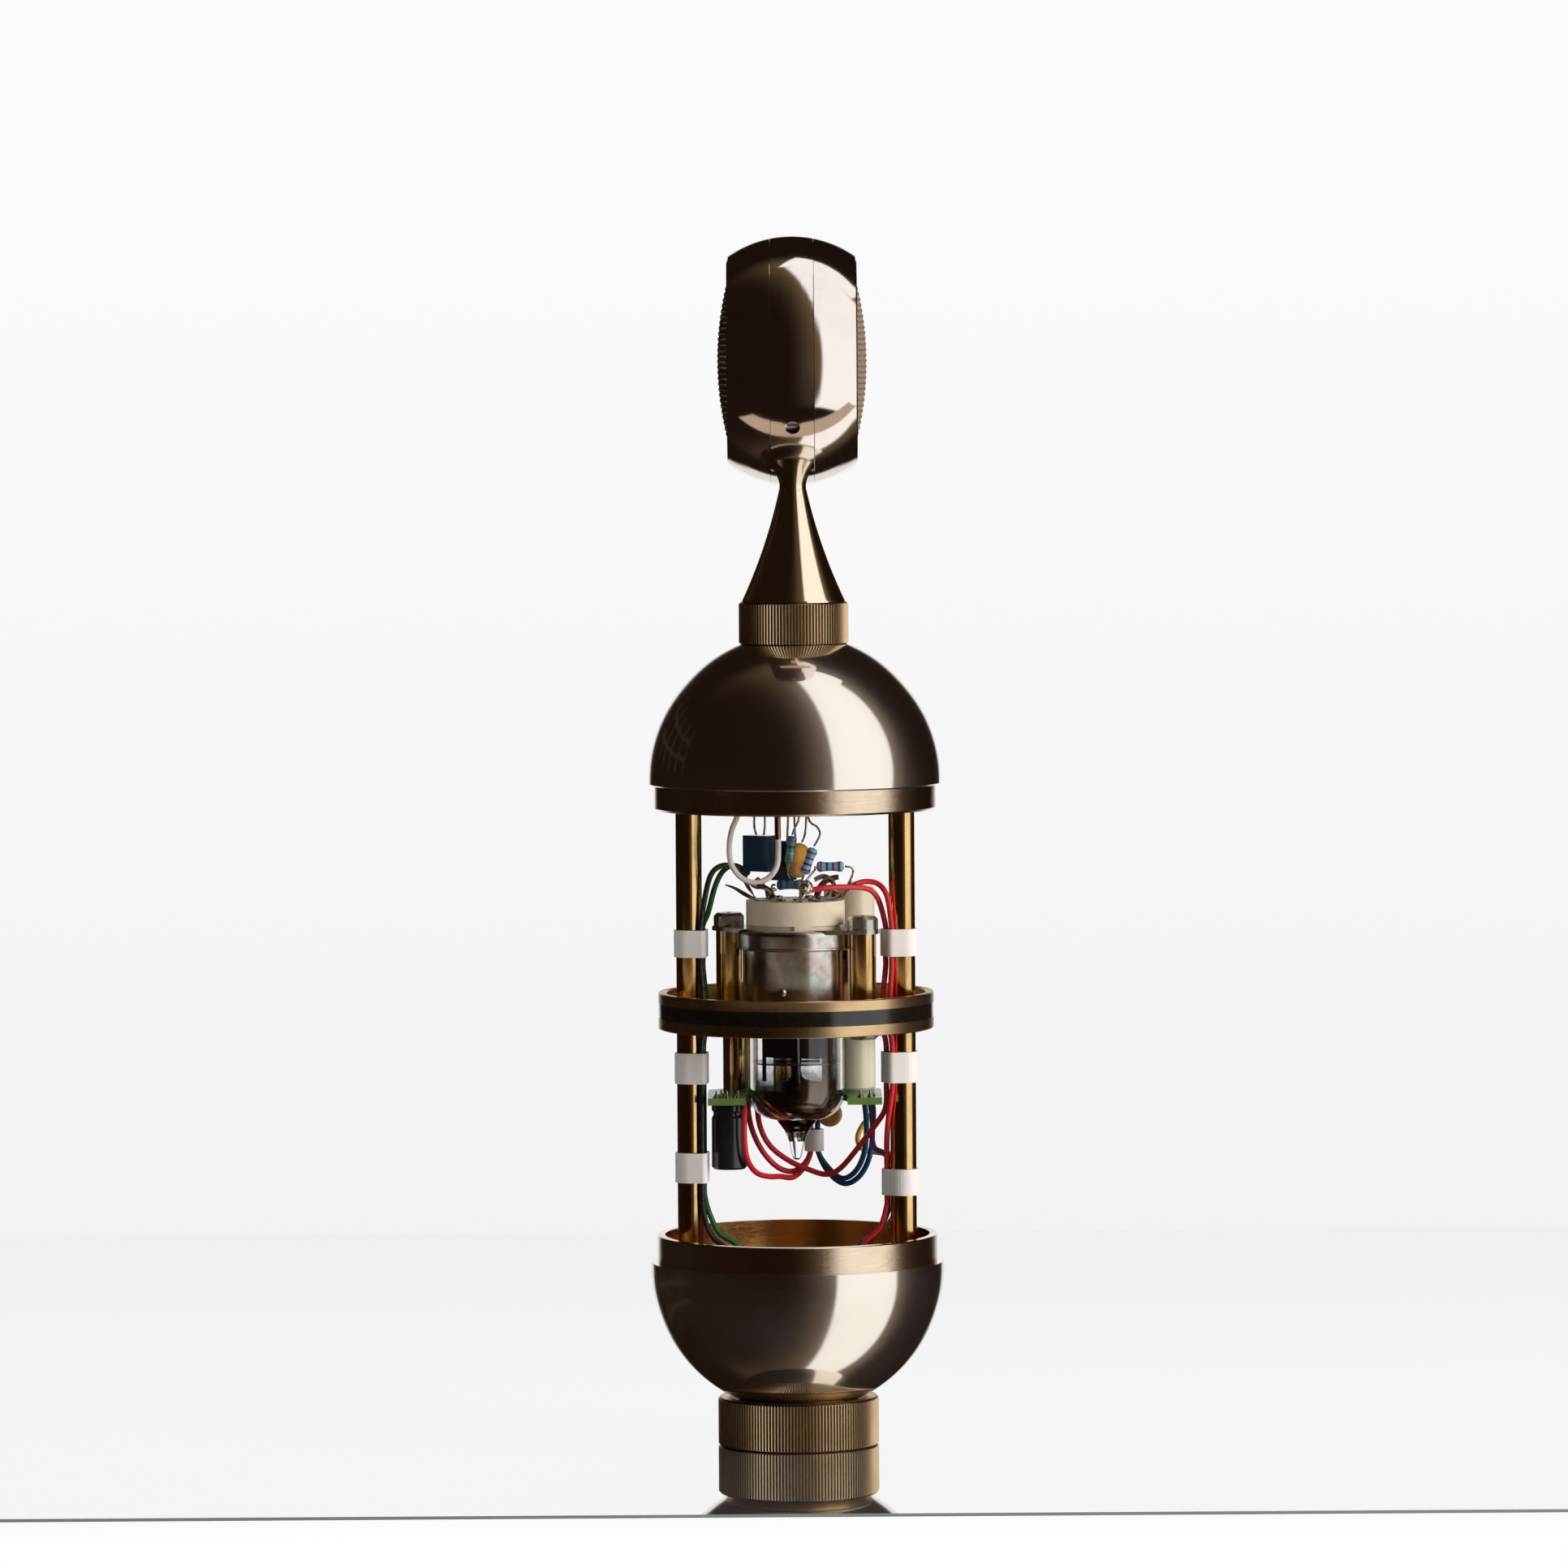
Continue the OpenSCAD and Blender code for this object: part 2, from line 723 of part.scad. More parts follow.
module top_ring() {
    inset_r = dome_r - shell_wall - 0.1;
    color("tan") difference() {
        translate([0, 0, dome_rim_z]) rotate_extrude() difference() {
            union() {
                block([top_spigot_r - spigot_wall, -top_spigot_h], [top_spigot_r, 0]);
                block([web_hole_r, top_web_z - dome_rim_z],
                [top_spigot_r - 0.5, top_web_top - dome_rim_z]);
                block([inset_r - 2, top_web_z - dome_rim_z], [inset_r, web_drop]);
            }
            block([inset_r, 0], [top_spigot_r + 1, web_drop + 1]);
            corner_cut([top_spigot_r, -top_spigot_h], 0.5);
        }
        at_rods(top_web_z - 1) cylinder(h = web_t + 2, d = screw_d + 2 * seat);
        at_rods(top_web_top - spot_face) cylinder(h = web_drop + 1, d = screw_head_d + 2 * air);
        at_spots(tag_spots, top_web_top) tapped_hole();
    }
}

module terminal_board() {
    color("saddlebrown") difference() {
        translate([0, 0, top_web_top]) linear_extrude(tag_t) intersection() {
            circle(r = 25);
            square([tag_w, 60], center = true);
        }
        at_spots(tag_spots, tag_top + 1) translate([0, 0, -4]) cylinder(h = 6, d = screw_d + 2 * seat);
    }
}

module lower_rods() {
    color("goldenrod") at_rods() difference() {
        union() {
            translate([0, 0, low_web_top]) cylinder(h = plate_z - low_web_top, d = rod_d);
            translate([0, 0, plate_z - 0.1]) cylinder(h = plate_t + screw_grip + 0.1, d = screw_d);
        }
        translate([0, 0, low_web_top]) mirror([0, 0, 1]) tapped_hole();
    }
}

module upper_rods() {
    color("goldenrod") at_rods() difference() {
        translate([0, 0, plate_top]) cylinder(h = top_web_z - plate_top, d = rod_d);
        translate([0, 0, plate_top]) mirror([0, 0, 1]) tapped_hole();
        translate([0, 0, top_web_z]) tapped_hole();
    }
}

module pan_screws() {
    color("silver") {
        at_rods(low_web_z) mirror([0, 0, 1]) pan_screw(web_t);
        at_rods(top_web_top) pan_screw(web_t);
        at_spots(pillar_spots, saddle_top) pan_screw(saddle_t);
        at_spots(pillar_spots, plate_z) mirror([0, 0, 1]) pan_screw(plate_t);
        at_spots(board_spots, plate_top) pan_screw(plate_t);
        at_spots(board_spots, board_z) mirror([0, 0, 1]) pan_screw(board_t);
        at_spots(tag_spots, tag_top) pan_screw(tag_t - screw_grip + web_t);
    }
}

band_z = mid_z + mid_h - band_top - band_h;

module mid_ring() {
    inner = mid_r - mid_wall;
    color("goldenrod") rotate_extrude() difference() {
        union() {
            block([inner, mid_z], [mid_r, mid_z + mid_h]);
            block([inner - 1.2, mid_z], [mid_r, plate_z]);
        }
        block([mid_r - band_t, band_z], [mid_r + 1, band_z + band_h]);
        for (z = [mid_z, mid_z + mid_h]) corner_cut([mid_r, z], 0.2);
        corner_cut([inner, mid_z + mid_h], 0.3);
    }
}

module ring_band() {
    color("black") difference() {
        ring(mid_r, mid_r - band_t + seat / 2, band_z + seat / 2, band_z + band_h - seat / 2);
        rotate(-8) translate([-0.08, -mid_r - 1, band_z - 1]) cube([0.16, 3, band_h + 2]);
    }
}

module chassis_plate() {
    color("darkgoldenrod") difference() {
        translate([0, 0, plate_z]) cylinder(h = plate_t, r = mid_r - mid_wall - seat);
        translate([0, 0, plate_z - 1]) {
            cylinder(h = plate_t + 2, r = can_r + 0.5);
            translate([film_spot[0], film_spot[1], 0]) cylinder(h = plate_t + 2, d = film_d + 0.3);
            for (s = [0, 1]) mirror([s, 0, 0]) translate([-rod_span / 2, 0, 0]) rotate(slot_from)
                rotate_extrude(angle = slot_sweep)
                    block([rod_d / 2 - 0.2, 0], [seat_r + wire_bow + wire_d / 2 + 0.5, plate_t + 2]);
            at_rods() cylinder(h = plate_t + 2, d = screw_d + 2 * seat);
            at_spots(concat(pillar_spots, board_spots)) cylinder(h = plate_t + 2, d = screw_d + 2 * seat);
        }
    }
}

module upper_pillars() {
    color("goldenrod") at_spots(pillar_spots, plate_top) difference() {
        cylinder(h = pillar_h, d = pillar_d);
        mirror([0, 0, 1]) tapped_hole();
        translate([0, 0, pillar_h]) tapped_hole();
    }
}

module lower_pillars() {
    color("goldenrod") at_spots(board_spots, board_top) difference() {
        cylinder(h = board_drop, d = pillar_d);
        mirror([0, 0, 1]) tapped_hole();
        translate([0, 0, board_drop]) tapped_hole();
    }
}

slot_angle = -23.4;
slot_turn = 25;
slot_w = 2.3;
bump_r = 0.95;
bump_z = saddle_top - 3.2;
shoulder = 1.4;

// Saddle sheet with two ears on the pillars
module saddle2d() {
    span = norm(pillar_spots[1]);
    tilt = atan2(pillar_spots[1][1], pillar_spots[1][0]);
    for (a = [0, 180]) rotate(tilt + a) wrap2d(skirt_r - shoulder, pillar_d / 2 + 0.9, span);
}

// Half section of the skirt: a rounded shoulder, a straight wall and a rolled rim
module saddle_skirt2d() {
    low = saddle_top - saddle_t + 0.4 - skirt_h;
    difference() {
        intersection() {
            union() {
                translate([skirt_r - shoulder, saddle_top - shoulder]) circle(r = shoulder);
                block([0, low], [skirt_r - shoulder, saddle_top]);
                block([0, low], [skirt_r, saddle_top - shoulder]);
            }
            block([0, low], [skirt_r, saddle_top]);
        }
        block([-1, low - 1], [skirt_r - 0.8, saddle_top - saddle_t]);
        block([-1, low - 1], [ceramic_r - 2.2, saddle_top + 1]);
    }
    translate([skirt_r - 0.3, low + 0.35]) circle(r = 0.45);
}

module socket_saddle() {
    color("lightsteelblue") {
        difference() {
            union() {
                translate([0, 0, saddle_top - saddle_t]) linear_extrude(saddle_t) saddle2d();
                rotate_extrude() saddle_skirt2d();
            }
            translate([0, 0, saddle_top - saddle_t - 1]) cylinder(h = saddle_t + 2, r = ceramic_r - 2.2);
            at_spots(pillar_spots, saddle_top - saddle_t - 1)
                cylinder(h = saddle_t + 2, d = screw_d + 2 * seat);
        }
        for (a = [0, 180]) rotate(slot_angle + slot_turn + a) translate([0, 0, bump_z])
            rotate([0, 90, 0]) translate([0, 0, can_r - can_wall + 0.15])
                cylinder(h = skirt_r - can_r + can_wall - 0.4, r = bump_r);
    }
}

module socket_ceramic() {
    color("antiquewhite") difference() {
        union() {
            translate([0, 0, saddle_top + 0.9]) cylinder(h = ceramic_h - 0.9, r = ceramic_r);
            translate([0, 0, saddle_top]) cylinder(h = 1, r = ceramic_r - 0.7);
            translate([0, 0, saddle_top]) intersection() {
                cylinder(h = 1, r = ceramic_r);
                for (a = [8, 98]) rotate(a) translate([-15, -1.85, 0]) cube([30, 3.7, 1]);
            }
            translate([0, 0, saddle_top - 3.5]) cylinder(h = 4, r = ceramic_r - 2.3);
        }
        for (a = pin_angles) rotate(a) translate([pin_circle_r, 0, saddle_top - 5])
            cylinder(h = ceramic_h + 10, r = 1);
        translate([0, 0, ceramic_top - 1.6]) cylinder(h = 3, r = 2.6);
    }
}

// Tilt from the vertical and length of each solder lug, in pin order from the left back
lugs = [[35, 5], [50, 6], [70, 6.5], [25, 3.6], [15, 3], [45, 2.6], [50, 5], [35, 5], [30, 5]];
lug_w = 1.9;
lug_t = 0.4;
lug_r = 9.4;

module socket_contacts() {
    low = saddle_top - 3.2;
    color("silver") for (i = [0:8]) rotate(pin_angles[i]) translate([pin_circle_r, 0, 0]) {
        ring(0.95, pin_d / 2 + run, low, ceramic_top - 1.5);
        translate([0, 0, ceramic_top - 1.6]) cylinder(h = 1.7, r = 0.6);
        translate([0, -lug_w / 2, ceramic_top + 0.02]) cube([lug_r - pin_circle_r, lug_w, lug_t]);
        translate([lug_r - pin_circle_r - lug_t / 2, 0, ceramic_top + lug_t / 2])
            rotate([0, lugs[i][0], 0]) translate([-lug_t / 2, -lug_w / 2, 0])
                cube([lug_t, lug_w, lugs[i][1]]);
    }
}

can_top = saddle_top - 1.5;
can_low = can_top - can_len;

module shield_can() {
    color("lightgray") {
        difference() {
            ring(can_r, can_r - can_wall, can_low, can_top);
            for (a = [0, 180]) rotate(slot_angle + a) {
                translate([can_r - 2, -slot_w / 2, can_top - 5.5]) cube([4, slot_w, 10]);
                translate([0, 0, bump_z - slot_w / 2])
                    rotate_extrude(angle = slot_turn + asin(slot_w / 2 / can_r))
                        block([can_r - 2, 0], [can_r + 2, slot_w]);
            }
        }
        ring(can_r - can_wall / 2, glass_r + air, can_low, can_low + 0.5);
        rotate(-105) translate([can_r - 0.5, 0, can_low + 7]) intersection() {
            sphere(r = 1.1);
            translate([0.35, -2, -2]) cube([3, 4, 4]);
        }
    }
}

// Half section of the glass envelope: its shoulder is an arc, its base a rounded button
module glass2d(r, top, low) {
    block([0, low + shoulder_r], [r, top]);
    block([0, low], [r - shoulder_r, low + shoulder_r + 0.01]);
    intersection() {
        translate([r - shoulder_r, low + shoulder_r]) circle(r = shoulder_r);
        block([0, low], [r, low + shoulder_r + 0.01]);
    }
}

// Half section of the drawn-off tip, from the envelope's floor down
module tip2d() {
    polygon([
        [0, glass_low + 0.3], [5, glass_low + 0.3], [4.4, glass_low - 0.6], [2.8, glass_low - 2.7],
        [1.8, glass_low - 5.1], [1.35, glass_low - 7.4], [1.1, glass_low - 8.6],
        [0.6, glass_low - tip_len],
        [0, glass_low - tip_len]
    ]);
}

module tube_glass() {
    inner = glass_r - glass_wall;
    color("lightcyan", 0.35) difference() {
        union() {
            rotate_extrude() difference() {
                glass2d(glass_r, glass_top, glass_low);
                corner_cut([glass_r, glass_top], 0.8);
            }
            rotate_extrude() tip2d();
        }
        rotate_extrude() difference() {
            glass2d(inner, glass_top - 2, glass_low + glass_wall);
            block([-1, 0], [0, glass_top]);
        }
        for (a = pin_angles) rotate(a) translate([pin_circle_r, 0, glass_top - 3])
            cylinder(h = 4, d = pin_d);
    }
}

mica_t = 0.3;
mica_low = glass_low + 12.9;
mica_high = glass_top - 6;
post_x = 8.2;
anode_w = 13.7;
anode_d = 6.6;
anode_turn = -24;

module tube_anode() {
    color("dimgray") rotate(anode_turn) {
        difference() {
            translate([-anode_w / 2, -anode_d / 2, mica_low + 1.2])
                cube([anode_w, anode_d, mica_high - mica_low - 2.4]);
            for (s = [-1, 1]) translate([s * 3.3, 0, mica_low]) cylinder(h = 40, r = 2.3);
        }
        for (s = [-1, 1]) translate([s * post_x, 0, mica_low - 4.5])
            cylinder(h = mica_high - mica_low + 5.5, r = 0.5);
        for (s = [-1, 1]) translate([s * (anode_w / 2 + 0.6), 0, (mica_low + mica_high) / 2])
            cube([1.6, 0.4, mica_high - mica_low - 2.4], center = true);
        translate([0, 0, mica_low - 4.5]) {
            rotate_extrude() translate([3, 0]) circle(r = 0.4);
            translate([2.8, -0.3, -0.3]) cube([post_x - 2.8, 0.6, 0.6]);
        }
    }
}

module tube_micas() {
    color("gainsboro", 0.6) for (z = [mica_low, mica_high]) difference() {
        translate([0, 0, z]) cylinder(h = mica_t, r = glass_r - glass_wall - 0.1);
        rotate(anode_turn) for (s = [-1, 1]) translate([s * post_x, 0, z - 1]) cylinder(h = 2, r = 0.52);
        if (z == mica_high)
            for (a = pin_angles) rotate(a) translate([pin_circle_r, 0, z - 1]) cylinder(h = 2, r = 0.27);
    }
}

module tube_pins() {
    color("silver") for (a = pin_angles) rotate(a) translate([pin_circle_r, 0, 0]) {
        translate([0, 0, glass_top - 3]) cylinder(h = pin_len + 3, d = pin_d);
        translate([0, 0, mica_high - 0.5]) cylinder(h = glass_top - 2.9 - mica_high + 0.5, r = 0.25);
    }
}

module circuit_board() {
    color("forestgreen") difference() {
        translate([0, 0, board_z]) linear_extrude(board_t) difference() {
            intersection() {
                circle(r = board_r);
                block([board_left, board_front], [board_right, board_r]);
            }
            circle(r = glass_r + 0.6);
            block([-glass_r - 0.6, board_front - 1], [glass_r + 0.6, 0]);
        }
        at_spots(board_spots, board_z - 1) cylinder(h = board_t + 2, d = screw_d + 2 * seat);
    }
}

// Plan places of the soldered ends on the board's top
joint_spots = [
    [-18.3, -4.6], [-15.9, -4.9], [-13.4, -4.8], [-17.2, -1.8], [14.6, -4.8], [16.8, -4.8], [17.2, -2]
];

module solder_joints() {
    color("lightgray") at_spots(joint_spots, board_top) {
        cylinder(h = 0.9, r1 = 0.9, r2 = 0.3);
        cylinder(h = 1.6, r = 0.25);
    }
}

module electrolytic_capacitor() {
    color("black") translate([can_cap_spot[0], can_cap_spot[1], board_z]) mirror([0, 0, 1])
        rotate_extrude() difference() {
            block([0, 0], [can_cap_d / 2, can_cap_len]);
            for (z = [0, can_cap_len]) corner_cut([can_cap_d / 2, z], 0.5);
            translate([can_cap_d / 2 + 0.6, 2.4]) circle(r = 1);
        }
}

module film_capacitor() {
    color("cornsilk") translate([film_spot[0], film_spot[1], board_top])
        rotate_extrude() difference() {
            block([0, 0], [film_d / 2, film_len]);
            for (z = [0, film_len]) corner_cut([film_d / 2, z], 0.6);
        }
}

// Disc capacitor lying about Y, with a domed edge
module disc_body(r, t) {
    rotate([90, 0, 0]) rotate_extrude() {
        block([0, -t / 2], [r - t / 2, t / 2]);
        intersection() {
            translate([r - t / 2, 0]) circle(d = t);
            block([0, -t], [r + 1, t]);
        }
    }
}

module disc_capacitors() {
    color("peru") translate([0.8, 0, ceramic_top + 9]) rotate(52) disc_body(4, 2.8);
    color("tan") translate([7.6, 13, board_z - 3.9]) disc_body(2.9, 2.2);
}

module box_capacitors() {
    color("midnightblue") {
        translate([-7.9, 0, ceramic_top + 10.7]) rotate(-35) cube([7, 4.2, 8.2], center = true);
        translate([-2.6, 7, ceramic_top + 8.6]) rotate(-20) cube([5, 3.5, 9], center = true);
    }
}

// Resistor body with its two raised end caps, centred, along Z
module resistor() {
    cap = 1.6;
    translate([0, 0, -resistor_len / 2]) rotate_extrude() difference() {
        union() {
            block([0, 0], [resistor_d / 2 - 0.2, resistor_len]);
            block([0, 0], [resistor_d / 2, cap]);
            block([0, resistor_len - cap], [resistor_d / 2, resistor_len]);
        }
        for (z = [0, resistor_len]) corner_cut([resistor_d / 2, z], 0.45);
    }
}

module resistors() {
    color("steelblue") {
        translate([-1.05, -5.6, ceramic_top + 11.8]) rotate([0, 6, 0]) resistor();
        translate([3.1, -5.6, ceramic_top + 9.2]) rotate([0, 20, 0]) resistor();
        translate([8, -4.2, ceramic_top + 7.8]) rotate([0, 90, 0]) resistor();
        translate([-1.1, -2.4, ceramic_top + 3.6]) rotate([0, 90, 0]) resistor();
    }
}

module component_leads() {
    t = ceramic_top;
    e = top_web_top - 0.1;
    color("silver") {
        lead([[-0.65, -5.6, t + 15.02], [0, -5.5, between(t + 15.02, e, 0.17)],
            [1, -5, between(t + 15.02, e, 0.35)], [1.2, -4.5, e]]);
        lead([[4.3, -5.6, t + 12.5], [5.2, -5.4, between(t + 12.5, e, 0.11)],
            [5.8, -5.2, between(t + 12.5, e, 0.23)], [4.8, -5, between(t + 12.5, e, 0.35)],
            [3, -4.6, between(t + 12.5, e, 0.45)], [2.4, -3, e]]);
        lead([[11.3, -4.2, t + 7.8], [12.8, -3.9, t + 7.6], [13.3, -3.4, t + 6.4],
        [12.4, -3, t + 4.3]]);
        lead([[4.5, -4.3, t + 7.8], [4.5, -6.9, t + 7.2], [2.8, -8.8, t + 5.4], [1.8, -9.3, t + 3.7]]);
        lead([[1.9, -5.7, t + 5.85], [1.6, -7, t + 5.2], [1.5, -9, t + 4]]);
        lead([[-1.45, -5.6, t + 8.45], [-1.6, -6.4, t + 6.4], [-0.4, -8.4, t + 4.4], [0.8, -9.4, t + 3.4]]);
        lead([[2.35, -2.4, t + 3.6], [3.4, -3.6, t + 3.6], [3.2, -7, t + 3.8], [2, -8.8, t + 4.1]]);
        lead([[-4.55, -2.4, t + 3.6], [-5.4, -4, t + 3.6], [-5.4, -7, t + 3.3], [-5.1, -8.2, t + 3]]);
        lead([[-8.7, 0.4, t + 14.88], [-9.4, 0.4, between(t + 14.88, e, 0.2)], [-8.8, 0.2, e]]);
        lead([[-7.2, -0.4, t + 14.88], [-6.8, -0.4, between(t + 14.88, e, 0.2)], [-7, 0, e]]);
        lead([[-3.4, 7.2, t + 13.2], [-3.6, 7, between(t + 13.2, e, 0.3)], [-3.4, 6, e]]);
        lead([[-1.8, 6.8, t + 13.2], [-1.6, 6.6, between(t + 13.2, e, 0.3)], [-1.2, 6, e]]);
        lead([[0.2, -0.6, t + 12.95], [0, -0.4, between(t + 12.95, e, 0.24)], [-0.4, 0.4, e]]);
        lead([[1.5, 0.9, t + 12.95], [2.6, 1, between(t + 12.95, e, 0.24)], [2.6, 1, e]]);
        lead([[6.8, 13, board_z - 1.06], [6.8, 13, board_z - 0.1]]);
        lead([[8.4, 13, board_z - 1.06], [8.4, 13, board_z - 0.1]]);
    }
}

module wire_white() {
    e = top_web_top - 0.1;
    low = ceramic_top + 4.4;
    color("linen") wire([
        [-12, -6.5, e], [-13, -7, between(low, e, 0.72)], [-14.4, -7, between(low, e, 0.56)],
        [-15, -7, between(low, e, 0.38)], [-14.6, -7, between(low, e, 0.2)],
        [-12.4, -7, between(low, e, 0.056)], [-9.2, -7, low], [-6.2, -7, between(low, e, 0.046)],
        [-4.2, -7, between(low, e, 0.167)], [-3.8, -7, between(low, e, 0.35)],
        [-3.9, -6.8, between(low, e, 0.58)], [-4, -6.4, e]
    ]);
}

// Route points that every wire down the left rod shares, at a seat's angle
function left_run(a) = [
    beside(-1, a, saddle_top + 0.5), beside(-1, a, saddle_top - 2.5), beside(-1, a, saddle_top - 7),
    beside(-1, a, saddle_top - 9.5)
];

module wire_black() {
    a = left_seats[0];
    t = ceramic_top;
    color("#1a1512") wire(concat(
        [[-11, 2, t + 5.2], [-13.5, 0.8, t + 7.4], [-16.6, -0.6, t + 8], [-19.3, -1.8, t + 6],
        [-20.8, -2.3, t]],
        left_run(a),
        [beside(-1, a, plate_top + 3, wire_bow), beside(-1, a, plate_z - 1, wire_bow),
        beside(-1, a, board_top + 12), beside(-1, a, board_top + 5), beside(-1, a, board_z - 9),
        beside(-1, a, board_z - 13), beside(-1, a, board_z - 17.5), beside(-1, a, board_z - 21),
        [-21.4, -2.6, low_web_top + 12],
        [-19.4, -3, low_web_top + 6.5], [-15, -3.6, low_web_top + 3], [-11, -4, low_web_z - 3],
        [-8, -4, low_web_z - 12], [-7, -3, boss_lift + 16]]
    ));
}

module wire_green() {
    a = left_seats[1];
    t = ceramic_top;
    color("#1f5a24") wire(concat(
        [[-10.4, 5, t + 5.6], [-13.6, 5.2, t + 7.6], [-16.4, 4, t + 6.6], [-18.4, 2.4, t + 3],
        [-20, 1, t - 3]],
        left_run(a),
        [beside(-1, a, plate_top + 3, wire_bow), beside(-1, a, plate_z - 1, wire_bow),
        beside(-1, a, board_top + 12), beside(-1, a, board_top + 5), beside(-1, a, board_z - 9),
        beside(-1, a, board_z - 13), beside(-1, a, board_z - 17.5), beside(-1, a, board_z - 21),
        [-20.2, 0.2, low_web_top + 12],
        [-17.8, 0.4, low_web_top + 7], [-13.4, 0.8, low_web_top + 4], [-9, 1, low_web_z - 2],
        [-6.6, 1, low_web_z - 11], [-6.5, 2, boss_lift + 16]]
    ));
}

module wires_red() {
    t = ceramic_top;
    front = right_seats[0];
    inner = right_seats[1];
    color("firebrick") {
        // From the socket's front solder blob down to the loop under the board
        wire([
            [3, -9.4, t + 2.7], [7.4, -8.4, t + 3.3], [12.6, -5.8, t + 3.2], [16.8, -3.4, t + 2.5],
            [19, -1.4, t], beside(1, inner, saddle_top + 0.5), beside(1, inner, saddle_top - 2.5),
            beside(1, inner, saddle_top - 7), beside(1, inner, saddle_top - 9.5),
            beside(1, inner, plate_top + 3, wire_bow), beside(1, inner, plate_z - 1, wire_bow),
            beside(1, inner, board_top + 12), beside(1, inner, board_top + 6.5),
            beside(1, inner, board_top + 2), [20.3, 0.3, board_z - 1.6], [17.6, 2.6, board_z - 6],
            [13.6, 6, board_z - 11.5],
            [10, 9.4, board_z - 16], [6.8, 11, board_z - 17.6], [3, 11.8, board_z - 16.6],
            [-1.6, 12, board_z - 14.6],
            [-6.2, 11.6, board_z - 11], [-8.6, 11, board_z - 6], [-9.2, 11, board_z - 0.1]
        ]);
        // From the right lug down the front of the rod and into the bowl
        wire([
            [13.5, -3.2, t + 3.6], [16, -2, t + 4.2], [19, -1.6, t + 3.6], [21, -2.6, t + 0.8],
            beside(1, front, saddle_top + 0.5), beside(1, front, saddle_top - 2.5),
            beside(1, front, saddle_top - 7), beside(1, front, saddle_top - 9.5),
            beside(1, front, plate_top + 3, wire_bow), beside(1, front, plate_z - 1, wire_bow),
            beside(1, front, board_top + 12), beside(1, front, board_top + 6.5),
            beside(1, front, board_top + 2), [20.9, -1.6, board_z - 4], beside(1, 0, board_z - 9),
            beside(1, 0, board_z - 13.5),
            beside(1, 0, board_z - 16), beside(1, 0, board_z - 20), beside(1, 0, board_z - 22.5),
            [20.4, -0.2, low_web_top + 13],
            [18.8, -0.6, low_web_top + 8], [15, -1, low_web_top + 4.6], [10.6, -2, low_web_z - 2],
            [7.4, -3, low_web_z - 11], [6.5, -3.5, boss_lift + 16]
        ]);
        // Loop from the board's front left under the tube
        wire([
            [-11.8, -5, board_z - 0.1], [-12, -5, board_z - 7], [-11.4, -4, board_z - 12.4],
            [-9.4, -1, board_z - 15.8], [-6.6, 3.4, board_z - 17.2], [-3.8, 7.4, board_z - 17.6],
            [-0.8, 11.4, board_z - 18.2], [1.8, 14.8, board_z - 16], [3.2, 15.7, board_z - 12.6],
            [3.2, 15.7, board_z - 7.6], [3.2, 15.7, board_z - 0.1]
        ]);
        // Loop from behind the tube
        wire([
            [-11.4, 9, board_z - 0.1], [-10.6, 9.2, board_z - 6], [-8.2, 9.6, board_z - 11.6],
            [-4.6, 11.4, board_z - 15.8], [-1, 14.6, board_z - 17.2], [1.8, 17, board_z - 15.6],
            [3.2, 17.3, board_z - 12.6], [3.2, 17.3, board_z - 7.6], [3.2, 17.3, board_z - 0.1]
        ]);
    }
}

module wires_blue() {
    color("#1d3c66") {
        wire([
            [15.5, 8, board_z - 0.1], [16, 8, board_z - 5.5], [15.6, 9.4, board_z - 12],
            [13.6, 11.4, board_z - 16.8], [10.4, 13.4, board_z - 18.8], [7.2, 15, board_z - 16.4],
            [4.8, 15.7, board_z - 12.6],
            [4.8, 15.7, board_z - 7.6], [4.8, 15.7, board_z - 0.1]
        ]);
        wire([
            [16.8, 9.4, board_z - 0.1], [17.4, 9.4, board_z - 5.5], [17, 10.8, board_z - 12.4],
            [14.8, 13, board_z - 17.8], [11, 15, board_z - 20.2], [7.2, 16.8, board_z - 17.6],
            [4.8, 17.3, board_z - 12.6], [4.8, 17.3, board_z - 7.6], [4.8, 17.3, board_z - 0.1]
        ]);
    }
}

module wire_yellow() {
    a = low_right_seats[2];
    color("goldenrod") wire([
        [17.4, 13, board_z - 0.1], [17.2, 13.4, board_z - 4], [15.2, 14, board_z - 6.6],
        [14, 14, board_z - 9.4], [15, 14.4, board_z - 12], [18.2, 14, board_z - 12.8],
        [21.4, 11, board_z - 13], [23.4, 6, board_z - 13.8],
        beside(1, a, board_z - 14.8), beside(1, a, board_z - 17), beside(1, a, board_z - 20),
        beside(1, a, board_z - 22.5), [22.8, 3.8, low_web_top + 12], [19.6, 4, low_web_top + 7],
        [14.4, 3.6, low_web_top + 4],
        [9.6, 3, low_web_z - 3], [6.6, 2.6, low_web_z - 11], [6.2, 3, boss_lift + 16]
    ]);
}

module wire_violet() {
    a = low_right_seats[1];
    color("#4b2a66") wire([
        [17.4, 4.6, board_z - 0.1], [17.6, 4.8, board_z - 4], [17.2, 5.6, board_z - 8],
        [17.8, 5, board_z - 11], [19.6, 3.4, board_z - 11.8], [21, 2.6, board_z - 13.2],
        beside(1, a, board_z - 14.8), beside(1, a, board_z - 17), beside(1, a, board_z - 20),
        beside(1, a, board_z - 22.5), [20.8, 2, low_web_top + 12], [18.4, 1.8, low_web_top + 7],
        [14, 1.4, low_web_top + 4],
        [9.4, 0.6, low_web_z - 3], [3.4, 0.6, low_web_z - 12], [2, 4.5, boss_lift + 16]
    ]);
}

